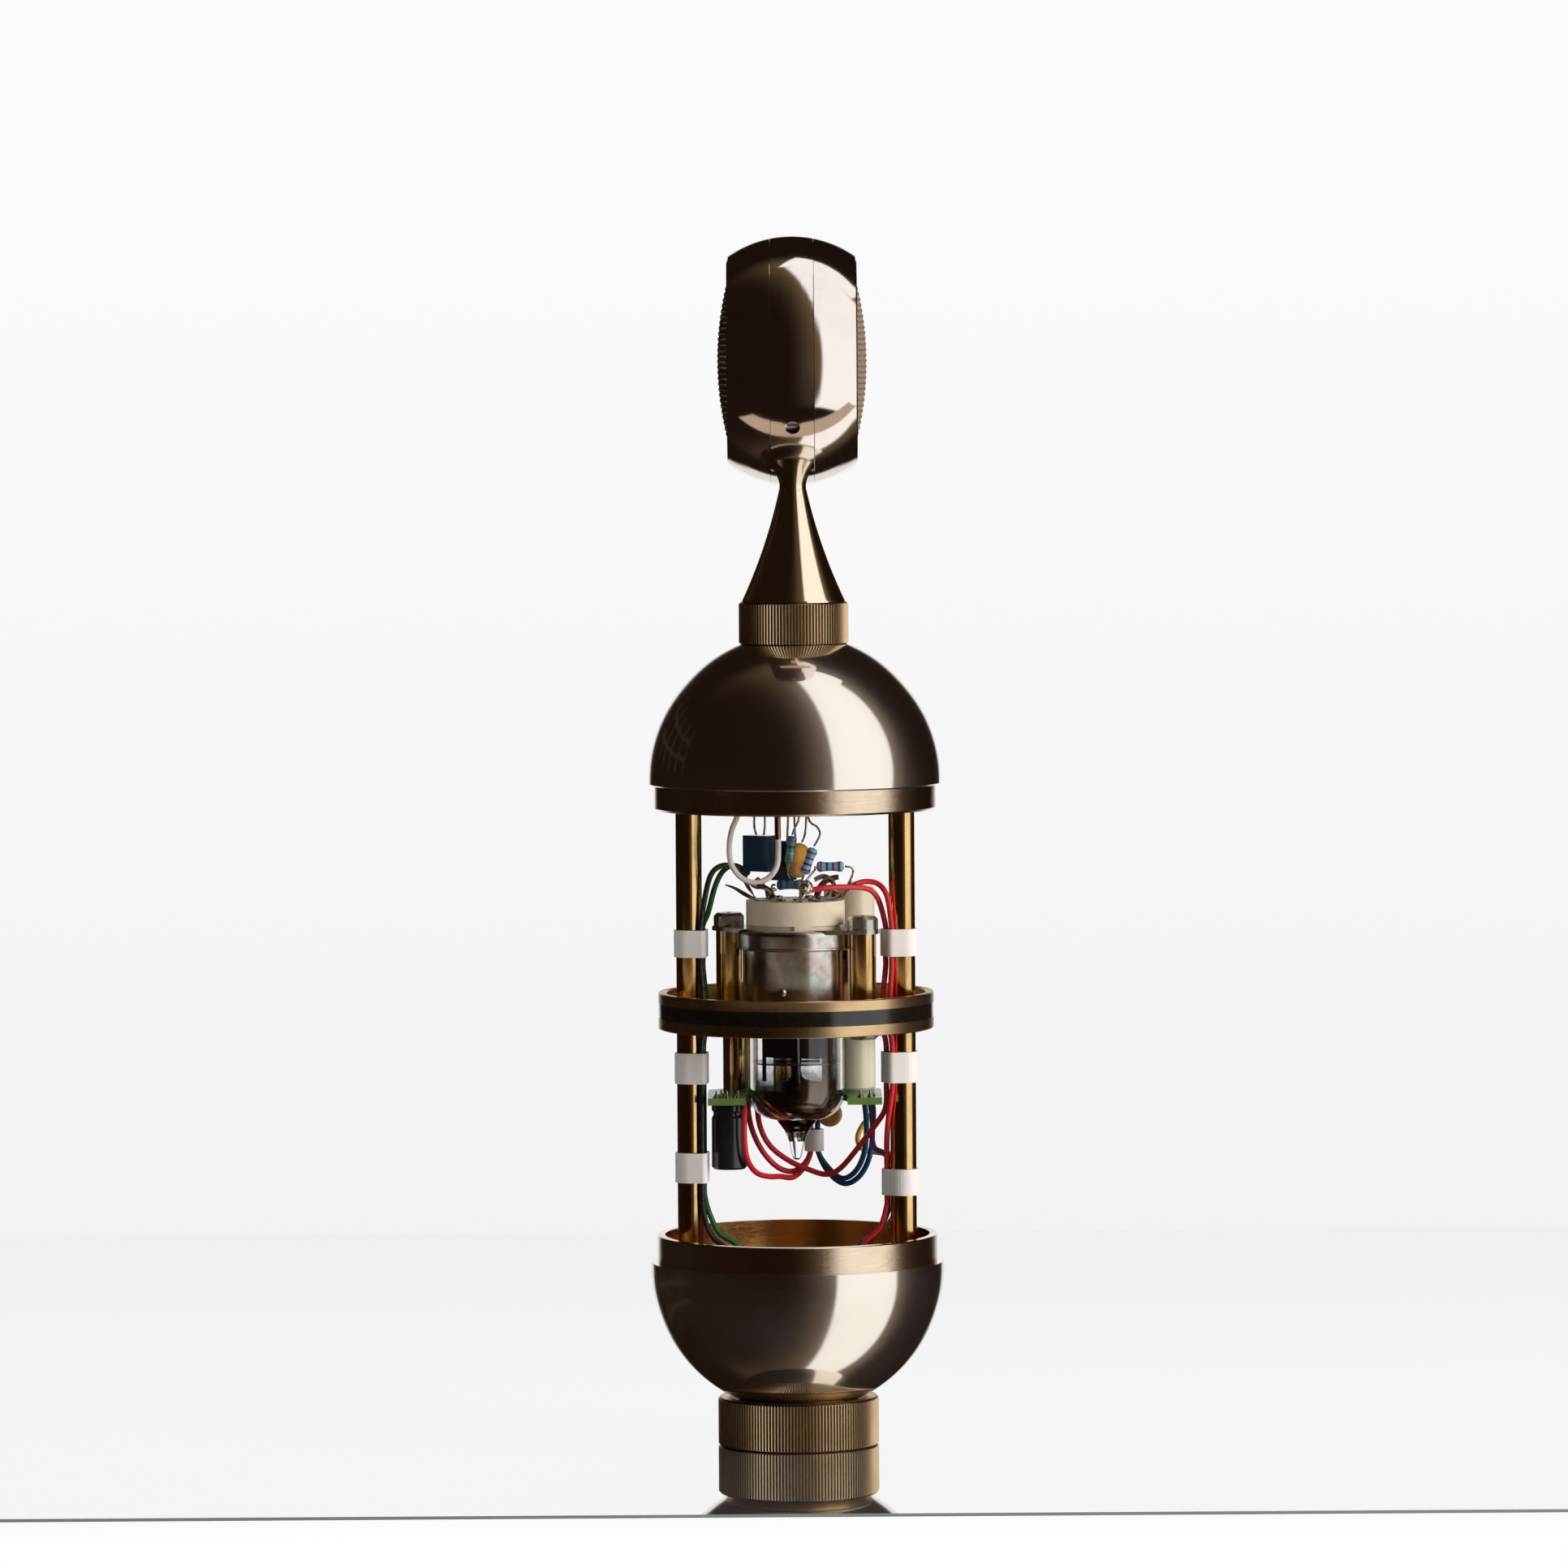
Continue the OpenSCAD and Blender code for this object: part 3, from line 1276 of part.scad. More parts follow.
// Outline round a rod and the wires beside it, grown by a distance
module sleeve2d(side, seats, grow) {
    hull() {
        translate([side * rod_span / 2, 0]) circle(d = rod_d + 2 * grow, $fn = 32);
        for (a = seats) translate([beside(side, a, 0)[0], beside(side, a, 0)[1]])
            circle(d = wire_d + 2 * grow, $fn = 24);
    }
}

// Sleeve round a rod and the wires beside it
module rod_sleeve(side, seats, z, h) {
    translate([0, 0, z]) linear_extrude(h) difference() {
        sleeve2d(side, seats, sleeve_wall + sleeve_gap);
        sleeve2d(side, seats, sleeve_gap);
    }
}

module cable_sleeves() {
    color("whitesmoke") {
        for (side = [-1, 1]) {
            seats = side < 0 ? left_seats : right_seats;
            rod_sleeve(side, seats, saddle_top - 6.6, 6.2);
            rod_sleeve(side, seats, board_top + 3, 7);
        }
        rod_sleeve(-1, left_seats, board_z - 18, 6.8);
        rod_sleeve(1, low_right_seats, board_z - 21.2, 6);
        translate([4, 16.5, board_z - 12.6]) ring(2.25, 1.95, 0, 5);
    }
}

module bowl() {
    color("tan") {
        difference() {
            union() {
                translate([0, 0, bowl_z]) mirror([0, 0, 1]) rotate_extrude()
                    shell2d(bowl_r, bowl_r - 1, bowl_r - shell_wall - 1);
                translate([0, 0, boss_lift]) cylinder(h = bowl_lift + 5.5 - boss_lift, r = boss_r);
            }
            translate([0, 0, boss_lift - 1]) cylinder(h = mouth_depth + 1, r = mouth_r);
            translate([0, 0, boss_lift]) cylinder(h = mouth_depth + insert_t + 20, r = insert_r - 0.6);
            translate([0, 0, insert_z]) cylinder(h = 20, r = insert_r + seat);
        }
    }
}

insert_z = boss_lift + 9;
contact_spots = [for (i = [0:5]) 6.4 * [cos(60 * i + 30), sin(60 * i + 30)], [0, 0]];

module connector_insert() {
    color("#2a2622") difference() {
        translate([0, 0, insert_z]) cylinder(h = insert_t, r = insert_r);
        at_spots(contact_spots, insert_z - 1) cylinder(h = insert_t + 2, r = 1.1 + seat);
    }
}

module connector_pins() {
    color("gold") at_spots(contact_spots, boss_lift + mouth_depth + 0.3)
        cylinder(h = insert_z + insert_t + 1 - boss_lift - mouth_depth - 0.3, r = 1.1);
}

module foot_ring() {
    color("goldenrod") difference() {
        knurled(foot_r, foot_h, 0.5);
        translate([0, 0, -1]) cylinder(h = foot_h + 2, r = boss_r + run);
        translate([0, 0, bowl_z]) sphere(r = bowl_r + air, $fn = 180);
    }
}

head_center_ring();
head_ring_left();
head_ring_right();
grille_left();
grille_right();
head_screws();
capsule_mount();
capsule_core();
diaphragms();
capsule_rings();
capsule_screws();
head_stem();
stem_nut();
stem_bush();
stem_contact();
neck_collar();
dome_neck();
neck_nut();
neck_socket();
neck_contact();
dome();
top_ring();
terminal_board();
upper_rods();
lower_rods();
pan_screws();
mid_ring();
ring_band();
chassis_plate();
upper_pillars();
lower_pillars();
socket_saddle();
socket_ceramic();
socket_contacts();
shield_can();
tube_glass();
tube_anode();
tube_micas();
tube_pins();
circuit_board();
solder_joints();
electrolytic_capacitor();
film_capacitor();
disc_capacitors();
box_capacitors();
resistors();
component_leads();
wire_white();
wires_red();
wire_black();
wire_green();
wires_blue();
wire_yellow();
wire_violet();
cable_sleeves();
bottom_ring();
bowl();
connector_insert();
connector_pins();
foot_ring();
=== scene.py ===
"""Looks of the opened tube condenser microphone: finishes, small trim, studio, light and camera.

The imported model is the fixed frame. Every piece is made in metres in it and rides on one of its bodies.
"""

from __future__ import annotations

import logging
import math
from dataclasses import dataclass, field, replace
from enum import Enum
from typing import Sequence

import bmesh
import bpy
from mathutils import Matrix, Vector

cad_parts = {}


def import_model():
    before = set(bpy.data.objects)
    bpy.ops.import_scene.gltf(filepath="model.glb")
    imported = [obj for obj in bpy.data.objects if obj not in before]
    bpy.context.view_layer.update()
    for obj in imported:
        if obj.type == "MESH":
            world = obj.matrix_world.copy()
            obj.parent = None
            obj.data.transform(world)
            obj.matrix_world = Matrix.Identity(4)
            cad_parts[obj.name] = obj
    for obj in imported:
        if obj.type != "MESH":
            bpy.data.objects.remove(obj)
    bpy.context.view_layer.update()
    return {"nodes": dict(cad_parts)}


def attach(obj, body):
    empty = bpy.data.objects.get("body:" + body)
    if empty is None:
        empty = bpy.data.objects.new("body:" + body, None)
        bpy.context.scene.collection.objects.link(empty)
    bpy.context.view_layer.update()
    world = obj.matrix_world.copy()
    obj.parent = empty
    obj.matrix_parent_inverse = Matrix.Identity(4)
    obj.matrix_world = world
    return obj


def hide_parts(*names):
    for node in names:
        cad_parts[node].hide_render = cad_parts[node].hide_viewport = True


LOG = logging.getLogger("microphone")
MM = 0.001

Color = tuple[float, float, float]
Point = tuple[float, float, float]
Socket = bpy.types.NodeSocket
Node = bpy.types.Node
Thing = bpy.types.Object


class Tree:
    """Builds the node tree of one material or world with short calls."""

    def __init__(self, owner: bpy.types.Material | bpy.types.World) -> None:
        """Starts the tree of a new material or world.

        Args:
            owner: the material or world that the nodes belong to.
        """
        owner.use_nodes = True
        self.nodes = owner.node_tree.nodes
        self.links = owner.node_tree.links
        self.shader = self.nodes.get("Principled BSDF") or self.nodes["Background"]

    def feed(self, socket: Socket, value: object) -> None:
        """Links an output to a socket, or sets the socket's own value.

        Args:
            socket: the input to feed.
            value: an output or a plain value.
        """
        if isinstance(value, Socket):
            self.links.new(value, socket)
        else:
            socket.default_value = value

    def add(self, kind: str, inputs: dict[str | int, object] | None = None, **settings: object) -> Node:
        """Adds a node, sets its properties and feeds its inputs.

        Args:
            kind: the node's type, without its ShaderNode prefix.
            inputs: outputs or plain values for its inputs, by name or number.
            **settings: properties to set on it.

        Returns:
            The new node.
        """
        node = self.nodes.new("ShaderNode" + kind)
        for key, value in settings.items():
            setattr(node, key, value)
        for key, value in (inputs or {}).items():
            self.feed(node.inputs[key], value)
        return node

    def object_space(self, center: Point = (0, 0, 0), scale: Point = (1, 1, 1)) -> Socket:
        """Object coordinates, moved to a centre and scaled.

        Args:
            center: the point that becomes the origin, in metres.
            scale: factor on each axis after that.

        Returns:
            The vector output.
        """
        place = self.add("TexCoord").outputs["Object"]
        shift = [-c * s for c, s in zip(center, scale)]
        return self.add("Mapping", {"Vector": place, "Location": shift, "Scale": scale}).outputs["Vector"]

    def maths(self, operation: str, a: object, b: object = 0.0) -> Socket:
        """Math node's result for two values."""
        return self.add("Math", {0: a, 1: b}, operation=operation).outputs[0]

    def times(self, a: object, b: object) -> Socket:
        """The product of two values."""
        return self.maths("MULTIPLY", a, b)

    def plus(self, a: object, b: object) -> Socket:
        """The sum of two values."""
        return self.maths("ADD", a, b)

    def split(self, vector: Socket) -> tuple[Socket, ...]:
        """The X, Y and Z outputs of a vector."""
        return tuple(self.add("SeparateXYZ", {0: vector}).outputs)

    def join(self, x: object, y: object, z: object) -> Socket:
        """A vector from three values."""
        return self.add("CombineXYZ", {0: x, 1: y, 2: z}).outputs[0]

    def noise(self, vector: Socket, scale: float, detail: float = 4.0,
              roughness: float = 0.55, distortion: float = 0.0) -> Socket:
        """Noise texture's factor, from 0 to 1."""
        return self.add("TexNoise", {"Vector": vector, "Scale": scale, "Detail": detail,
                                     "Roughness": roughness, "Distortion": distortion}).outputs["Fac"]

    def spread(self, value: object, low: float, high: float, to_low: float = 0.0,
               to_high: float = 1.0, smooth: bool = False) -> Socket:
        """Maps a range of a value onto another range, clamped.

        Args:
            value: the value to map.
            low: where the range starts.
            high: where it ends.
            to_low: the result at the start and before it.
            to_high: the result at the end and past it.
            smooth: whether it eases in and out.

        Returns:
            The result.
        """
        inputs = {"Value": value, "From Min": low, "From Max": high, "To Min": to_low, "To Max": to_high}
        kind = "SMOOTHSTEP" if smooth else "LINEAR"
        return self.add("MapRange", inputs, interpolation_type=kind).outputs["Result"]

    def window(self, angle: Socket, low: float, high: float, soft: float) -> Socket:
        """How much a direction lies between two bearings.

        Args:
            angle: the direction's bearing in radians.
            low: the first bearing in degrees.
            high: the last bearing in degrees.
            soft: half the width of each blurred edge in degrees.

        Returns:
            A value from 0 to 1.
        """
        rise = self.spread(angle, math.radians(low - soft), math.radians(low + soft), smooth=True)
        fall = self.spread(angle, math.radians(high - soft), math.radians(high + soft), 1, 0, smooth=True)
        return self.times(rise, fall)

    def blend(self, factor: object, first: object, second: object) -> Socket:
        """Mixes two colours.

        Args:
            factor: how much of the second shows.
            first: a colour or a socket.
            second: a colour or a socket.

        Returns:
            The colour output.
        """
        first, second = ((*tone, 1.0) if isinstance(tone, tuple) else tone for tone in (first, second))
        return self.add("Mix", {0: factor, 6: first, 7: second}, data_type="RGBA").outputs[2]

    def bump(self, height: object, distance: float) -> Socket:
        """Bump from a height, with its distance in metres."""
        return self.add("Bump", {"Height": height, "Distance": distance}).outputs["Normal"]

    def set(self, **sockets: object) -> None:
        """Sets or links the shader's sockets.

        Args:
            **sockets: their values, with the spaces in their names written as underscores.
        """
        for key, value in sockets.items():
            socket = self.shader.inputs[key.replace("_", " ")]
            if isinstance(value, tuple) and len(value) == 3 and socket.type == "RGBA":
                value = (*value, 1.0)
            self.feed(socket, value)

    def emission(self, color: Color) -> Node:
        """A shader that gives off a colour."""
        return self.add("Emission", {"Color": (*color, 1)})

    def mix(self, factor: object, first: Node, second: Node) -> Node:
        """A shader that goes from the first to the second as the factor grows."""
        return self.add("MixShader", {"Fac": factor, 1: first.outputs[0], 2: second.outputs[0]})

    def surface(self, shader: Node) -> None:
        """Makes a shader the material's surface."""
        self.links.new(shader.outputs[0], self.nodes["Material Output"].inputs["Surface"])


def shade(color: Color, share: float) -> Color:
    """A colour at a share of its brightness."""
    return tuple(c * share for c in color)


class Axis(Enum):
    """The line that a turned piece was turned about."""

    UPRIGHT = "Z"
    HEAD = "X"


@dataclass(frozen=True)
class Finish:
    """A surface's look: a name and a way to make its material."""

    name: str

    def paint(self, tree: Tree) -> None:
        """Fills the tree; each kind of finish has its own."""

    def material(self) -> bpy.types.Material:
        """The material of this finish, made once.

        Returns:
            The new material, or the one made before.
        """
        title = f"{self.name}_finish"
        known = bpy.data.materials.get(title)
        if known is not None:
            return known
        made = bpy.data.materials.new(title)
        self.paint(Tree(made))
        return made


@dataclass(frozen=True)
class TurnedMetal(Finish):
    """Metal turned on a lathe, with fine rings, stains, smudges and fine scratches.

    The relief is ring_depth deep. Faces towards the axis take the colour inside, a painted reflection of
    light bounced between the inner walls; haze is the weight of a dull coat, and grooved is the radius at
    which a groove of painted shade ends.
    """

    color: Color
    stain: Color
    stained: float
    roughness: float
    smudge: float
    rings: float
    scratches: float
    ring_depth: float = 0.004 * MM
    axis: Axis = Axis.UPRIGHT
    center: Point = (0, 0, 0)
    # inside: painted reflection colour for the faces towards the axis, for light bounced between the walls
    inside: Color | None = None
    haze: float = 0.0
    grooved: float = 0.0
    turn_step: float = 0.0006
    ring_tint: float = 0.35
    ring_shade: float = 0.62
    broad_share: float = 0.6
    scratch_pitch: float = 14.0
    scratch_gloss: float = 0.12
    groove_shade: float = 0.10

    def walls(self, tree: Tree, x: Socket, y: Socket) -> object:
        """The metal's own colour, or a painted reflection colour on the faces towards the axis.

        Args:
            tree: the material's tree.
            x: the place's first coordinate.
            y: its second coordinate.

        Returns:
            The colour.
        """
        if self.inside is None:
            return self.color
        nx, ny, _ = tree.split(tree.add("NewGeometry").outputs["Normal"])
        outwards = tree.plus(tree.times(nx, x), tree.times(ny, y))
        # faces towards the axis take the painted reflection colour
        return tree.blend(tree.spread(outwards, -0.004, -0.002, 1, 0), self.color, self.inside)

    def paint(self, tree: Tree) -> None:
        """Paints rings about the turning axis, then stains, smudges and scratches.

        Args:
            tree: the material's tree.
        """
        place = tree.object_space(self.center)
        x, y, z = tree.split(place)
        along, across = (z, (x, y)) if self.axis is Axis.UPRIGHT else (x, (y, z))
        radius = tree.maths("SQRT", tree.plus(*(tree.times(value, value) for value in across)))
        angle = tree.maths("ARCTAN2", across[1], across[0])
        section = tree.join(radius, along, tree.times(angle, self.turn_step))
        fine = tree.noise(section, 9000, 3, 0.7)
        broad = tree.noise(section, 1300, 2, 0.5)
        clouds = tree.noise(place, 55, 6, 0.62, 0.6)
        spots = tree.noise(place, 420, 5, 0.7)
        scratch = tree.noise(tree.join(x, y, tree.times(z, self.scratch_pitch)), 160, 8, 0.75)
        dirt = tree.times(tree.spread(clouds, 0.45, 0.75), tree.spread(spots, 0.35, 0.75, 0.3))
        tint = tree.blend(tree.times(dirt, self.stained), self.walls(tree, x, y), self.stain)
        tint = tree.blend(tree.times(tree.spread(fine, 0.3, 0.8), self.rings * self.ring_tint),
                          tint, shade(self.color, self.ring_shade))
        # a dark band in the groove is painted shade
        if self.grooved:
            groove = tree.times(tree.spread(radius, self.grooved - 0.7 * MM, self.grooved - 0.5 * MM),
                                tree.spread(radius, self.grooved - 0.27 * MM, self.grooved - 0.17 * MM, 1, 0))
            tint = tree.blend(groove, tint, shade(self.color, self.groove_shade))
        rough = tree.plus(tree.spread(clouds, 0.3, 0.8, self.roughness, self.roughness + self.smudge),
                          tree.times(tree.spread(scratch, 0.55, 0.75), self.scratches * self.scratch_gloss))
        height = tree.plus(tree.times(fine, self.rings), tree.times(broad, self.rings * self.broad_share))
        height = tree.plus(height, tree.times(scratch, self.scratches))
        tree.set(Base_Color=tint, Metallic=1.0, Roughness=rough, Normal=tree.bump(height, self.ring_depth))
        if self.haze:
            tree.set(Coat_Weight=tree.spread(clouds, 0.25, 0.75, self.haze * 0.6, self.haze),
                     Coat_Roughness=0.27, Coat_IOR=3.2)


@dataclass(frozen=True)
class ZincPlate(Finish):
    """Bright zinc plating with drawn streaks and pale rainbow patches."""

    color: Color = (0.80, 0.80, 0.78)
    rosy: Color = (0.70, 0.62, 0.59)
    greenish: Color = (0.64, 0.75, 0.72)
    stain: Color = (0.40, 0.31, 0.21)
    roughness: float = 0.21
    depth: float = 0.0012 * MM

    def paint(self, tree: Tree) -> None:
        """Paints the patches, streaks and small dents.

        Args:
            tree: the material's tree.
        """
        place = tree.object_space()
        patches = tree.noise(place, 120, 3, 0.5, 0.8)
        streak = tree.noise(tree.object_space(scale=(1, 1, 0.12)), 1500, 4, 0.6)
        tone = tree.blend(tree.spread(patches, 0.35, 0.50), self.rosy, self.color)
        tone = tree.blend(tree.spread(patches, 0.50, 0.62), tone, self.greenish)
        tone = tree.blend(tree.spread(tree.noise(place, 260, 5), 0.45, 0.7, 0, 0.7), tone, self.stain)
        rough = tree.spread(streak, 0.3, 0.7, self.roughness - 0.03, self.roughness + 0.05)
        height = tree.plus(streak, tree.times(patches, 3.0))
        tree.set(Base_Color=tone, Metallic=1.0, Roughness=rough, Normal=tree.bump(height, self.depth))


@dataclass(frozen=True)
class Moulded(Finish):
    """Plastic, ceramic, lacquer or rubber, with speckle, wear, bump and gloss."""

    color: Color
    other: Color
    mottle: float = 0.35
    mottle_scale: float = 150
    grain_scale: float = 2500
    grain_depth: float = 0.01 * MM
    roughness: float = 0.4
    coat: float = 0.0
    subsurface: float = 0.0

    def paint(self, tree: Tree) -> None:
        """Paints the base colour, its mottle, its grain and its gloss.

        Args:
            tree: the material's tree.
        """
        place = tree.object_space()
        broad = tree.noise(place, self.mottle_scale, 5, 0.6, 0.4)
        grain = tree.noise(place, self.grain_scale, 4, 0.65)
        tone = tree.blend(tree.times(tree.spread(broad, 0.35, 0.75), self.mottle), self.color, self.other)
        rough = tree.spread(tree.plus(broad, tree.times(grain, 0.5)), 0.5, 1.1,
                            self.roughness - 0.06, self.roughness + 0.1)
        height = tree.plus(grain, tree.times(broad, 2.0))
        tree.set(Base_Color=tone, Roughness=rough, Normal=tree.bump(height, self.grain_depth),
                 Coat_Weight=self.coat, Coat_Roughness=0.12)
        if self.subsurface:
            tree.set(Subsurface_Weight=self.subsurface, Subsurface_Radius=(0.002, 0.0018, 0.0014))


@dataclass(frozen=True)
class Laminate(Finish):
    """Green circuit board with its weave, copper tracks and pale edge."""

    color: Color = (0.012, 0.24, 0.075)
    track: Color = (0.03, 0.36, 0.12)
    edge: Color = (0.17, 0.25, 0.05)

    def paint(self, tree: Tree) -> None:
        """Paints tracks on the faces and pale glass fibre on the edge.

        Args:
            tree: the material's tree.
        """
        inputs = {"Vector": tree.object_space(), "Scale": 420, "Mortar Size": 0.03}
        weave = tree.add("TexBrick", inputs, offset=0.5).outputs["Fac"]
        tracks = tree.spread(tree.noise(tree.object_space(scale=(1, 0.3, 1)), 330, 1, 0.2, 1.6), 0.47, 0.53)
        tone = tree.blend(tree.times(tracks, 0.8), self.color, self.track)
        upright = tree.maths("ABSOLUTE", tree.split(tree.add("NewGeometry").outputs["Normal"])[2])
        side = tree.spread(upright, 0.3, 0.7, 1, 0)
        tone = tree.blend(tree.times(side, 0.75), tone, self.edge)
        height = tree.plus(tracks, tree.times(weave, 0.3))
        tree.set(Base_Color=tone, Roughness=0.32, Normal=tree.bump(height, 0.02 * MM),
                 Coat_Weight=0.4, Coat_Roughness=0.15)


@dataclass(frozen=True)
class ClearGlass(Finish):
    """Blown glass with faint waves and dust."""

    color: Color = (0.97, 0.985, 0.98)
    dull: float = 0.12
    ior: float = 1.45

    def paint(self, tree: Tree) -> None:
        """Paints clear glass with a slight wave in its wall.

        Args:
            tree: the material's tree.
        """
        place = tree.object_space()
        wave = tree.noise(place, 90, 2, 0.4)
        dust = tree.noise(place, 2600, 3, 0.7)
        tree.set(Base_Color=self.color, Roughness=tree.spread(dust, 0.62, 0.8, 0, self.dull), IOR=self.ior,
                 Transmission_Weight=1.0, Normal=tree.bump(wave, 0.05 * MM))


@dataclass(frozen=True)
class GetterFilm(Finish):
    """Brown metal mirror fired onto the inside of the glass, which thins out upwards."""

    color: Color = (0.10, 0.065, 0.045)
    other: Color = (0.20, 0.13, 0.085)
    full: float = 79.5 * MM
    clear: float = 87.0 * MM
    ragged: float = 2.2 * MM

    def paint(self, tree: Tree) -> None:
        """Paints the film and lets its ragged upper edge turn clear.

        Args:
            tree: the material's tree.
        """
        place = tree.object_space()
        shift = tree.spread(tree.noise(place, 210, 4), 0.3, 0.7, -self.ragged, self.ragged)
        height = tree.plus(tree.split(place)[2], shift)
        cover = tree.spread(height, self.full, self.clear, 0.97, 0.0, smooth=True)
        tone = tree.blend(tree.noise(place, 300, 4), self.color, self.other)
        tree.set(Base_Color=tone, Metallic=1.0, Roughness=0.16, Alpha=cover)


@dataclass(frozen=True)
class Banded(Finish):
    """Lacquered resistor body with colour bands along the piece's own UV map."""

    color: Color = (0.20, 0.42, 0.56)
    bands: tuple[Color, ...] = (
        (0.30, 0.04, 0.03), (0.05, 0.05, 0.05), (0.30, 0.04, 0.03), (0.24, 0.10, 0.04))
    first: float = 0.16
    pitch: float = 0.22

    def paint(self, tree: Tree) -> None:
        """Paints each band over the lacquer.

        Args:
            tree: the material's tree.
        """
        along = tree.split(tree.add("TexCoord").outputs["UV"])[1]
        place = tree.object_space()
        tone: object = tree.blend(tree.spread(tree.noise(place, 900, 4), 0.4, 0.7),
                                  self.color, shade(self.color, 0.8))
        for index, band in enumerate(self.bands):
            near = tree.maths("ABSOLUTE", tree.maths("SUBTRACT", along, self.first + self.pitch * index))
            tone = tree.blend(tree.spread(near, 0.035, 0.05, 1, 0), tone, band)
        tree.set(Base_Color=tone, Roughness=0.28, Normal=tree.bump(tree.noise(place, 4000, 3), 0.01 * MM),
                 Coat_Weight=0.5, Coat_Roughness=0.1)


def insulation(name: str, color: Color, other: Color, roughness: float = 0.28) -> Moulded:
    """The glossy insulation of one coloured wire."""
    return Moulded(name, color, other, roughness=roughness, coat=0.25, grain_depth=0.006 * MM)


HEAD_CENTER: Point = (0, 0, 247.63 * MM)
SOCKET_TOP = 124.4 * MM
WELD = 0.002 * MM
SMOOTH_ANGLE = math.radians(40)
SKIN_SCALE = 0.7
SKIN_DEPTH = 0.55
LIGHT: Color = (1.10, 1.10, 1.13)
BACKDROP: Color = (0.965, 0.965, 0.968)

POLISHED = TurnedMetal(
    "polished_brass", (0.87, 0.78, 0.65), (0.60, 0.45, 0.30), stained=0.25, haze=1.0, roughness=0.045,
    smudge=0.04, rings=0.10, scratches=0.12, ring_depth=0.0012 * MM)
HEAD_BRASS = TurnedMetal(
    "head_brass", (0.87, 0.80, 0.73), (0.55, 0.42, 0.32), stained=0.3, roughness=0.06, smudge=0.06,
    rings=0.35, scratches=0.10, ring_depth=0.0016 * MM, axis=Axis.HEAD, center=HEAD_CENTER)
STEM_BRASS = TurnedMetal(
    "stem_brass", (0.93, 0.82, 0.60), (0.45, 0.30, 0.14), stained=0.2, roughness=0.07, smudge=0.06,
    rings=0.5, scratches=0.15, ring_depth=0.002 * MM)
ROD_BRASS = TurnedMetal(
    "rod_brass", (0.84, 0.57, 0.24), (0.26, 0.13, 0.05), stained=0.7, roughness=0.10, smudge=0.10, rings=0.1,
    scratches=0.3, ring_depth=0.003 * MM)
# inside is a painted orange reflection on the inner walls
SPIGOT_BRASS = TurnedMetal(
    "spigot_brass", (0.90, 0.73, 0.53), (0.36, 0.24, 0.16), stained=0.5, inside=(0.90, 0.48, 0.11),
    roughness=0.13, smudge=0.09, rings=1.6, scratches=0.3, ring_depth=0.012 * MM)
# inside is a painted orange reflection on the inner walls
RING_BRASS = TurnedMetal(
    "ring_brass", (0.80, 0.56, 0.30), (0.36, 0.22, 0.11), inside=(0.88, 0.55, 0.20), stained=0.7,
    roughness=0.24, smudge=0.12, rings=0.5, scratches=0.7, ring_depth=0.008 * MM)
# grooved puts a band of painted shade at the groove of these knurled rings
KNURL_BRASS = TurnedMetal(
    "knurled_brass", (0.93, 0.68, 0.39), (0.34, 0.21, 0.10), stained=0.6, roughness=0.30, smudge=0.12,
    rings=0.1, scratches=0.5, grooved=18.35 * MM)
COLLAR_BRASS = replace(KNURL_BRASS, name="collar_brass", grooved=12.55 * MM)
GOLD = TurnedMetal(
    "gold_leaf", (0.90, 0.68, 0.33), (0.6, 0.4, 0.2), stained=0.2, roughness=0.14, smudge=0.05, rings=0.2,
    scratches=0.2)
STEEL = TurnedMetal(
    "bright_steel", (0.62, 0.61, 0.59), (0.30, 0.25, 0.20), stained=0.6, roughness=0.24, smudge=0.12,
    rings=0.2, scratches=0.8, ring_depth=0.008 * MM)
TIN = TurnedMetal(
    "bright_tin", (0.72, 0.70, 0.67), (0.45, 0.36, 0.26), stained=0.4, roughness=0.16, smudge=0.12,
    rings=0.0, scratches=0.5, ring_depth=0.01 * MM)
LUG_TIN = replace(TIN, name="lug_tin", color=(0.60, 0.56, 0.50), stain=(0.22, 0.14, 0.08), stained=0.8)
BURNT_TIN = replace(TIN, name="burnt_tin", color=(0.34, 0.20, 0.13), stain=(0.12, 0.06, 0.03), stained=0.8)
BRIGHT_SOLDER = replace(TIN, name="bright_solder", color=(0.92, 0.90, 0.88), stained=0.2, roughness=0.22)
# bright nickel for the strip that stands in the tube as a painted highlight
HIGHLIGHT_NICKEL = replace(TIN, name="highlight_nickel", color=(0.95, 0.94, 0.96), stained=0.0, roughness=0.3)
NICKEL = TurnedMetal(
    "carbonised_nickel", (0.11, 0.09, 0.095), (0.12, 0.10, 0.10), stained=0.8, roughness=0.46, smudge=0.2,
    rings=0.0, scratches=0.4)
MESH_WIRE = TurnedMetal(
    "mesh_wire", (0.62, 0.46, 0.34), (0.20, 0.12, 0.08), stained=0.7, roughness=0.26, smudge=0.12, rings=0.0,
    scratches=0.6)
ZINC = ZincPlate("zinc_plate")
CERAMIC = Moulded(
    "socket_ceramic", (0.76, 0.66, 0.50), (0.60, 0.48, 0.33), mottle=0.5, mottle_scale=260, grain_scale=5200,
    grain_depth=0.03 * MM, roughness=0.5, subsurface=0.15)
PTFE = Moulded("white_insulator", (0.86, 0.86, 0.82), (0.74, 0.72, 0.66), roughness=0.42, subsurface=0.1)
RESIN = Moulded("capsule_resin", (0.30, 0.19, 0.10), (0.18, 0.10, 0.05), roughness=0.4)
TAG_BOARD = Moulded(
    "tag_laminate", (0.30, 0.17, 0.08), (0.18, 0.09, 0.04), mottle=0.8, mottle_scale=420, roughness=0.45)
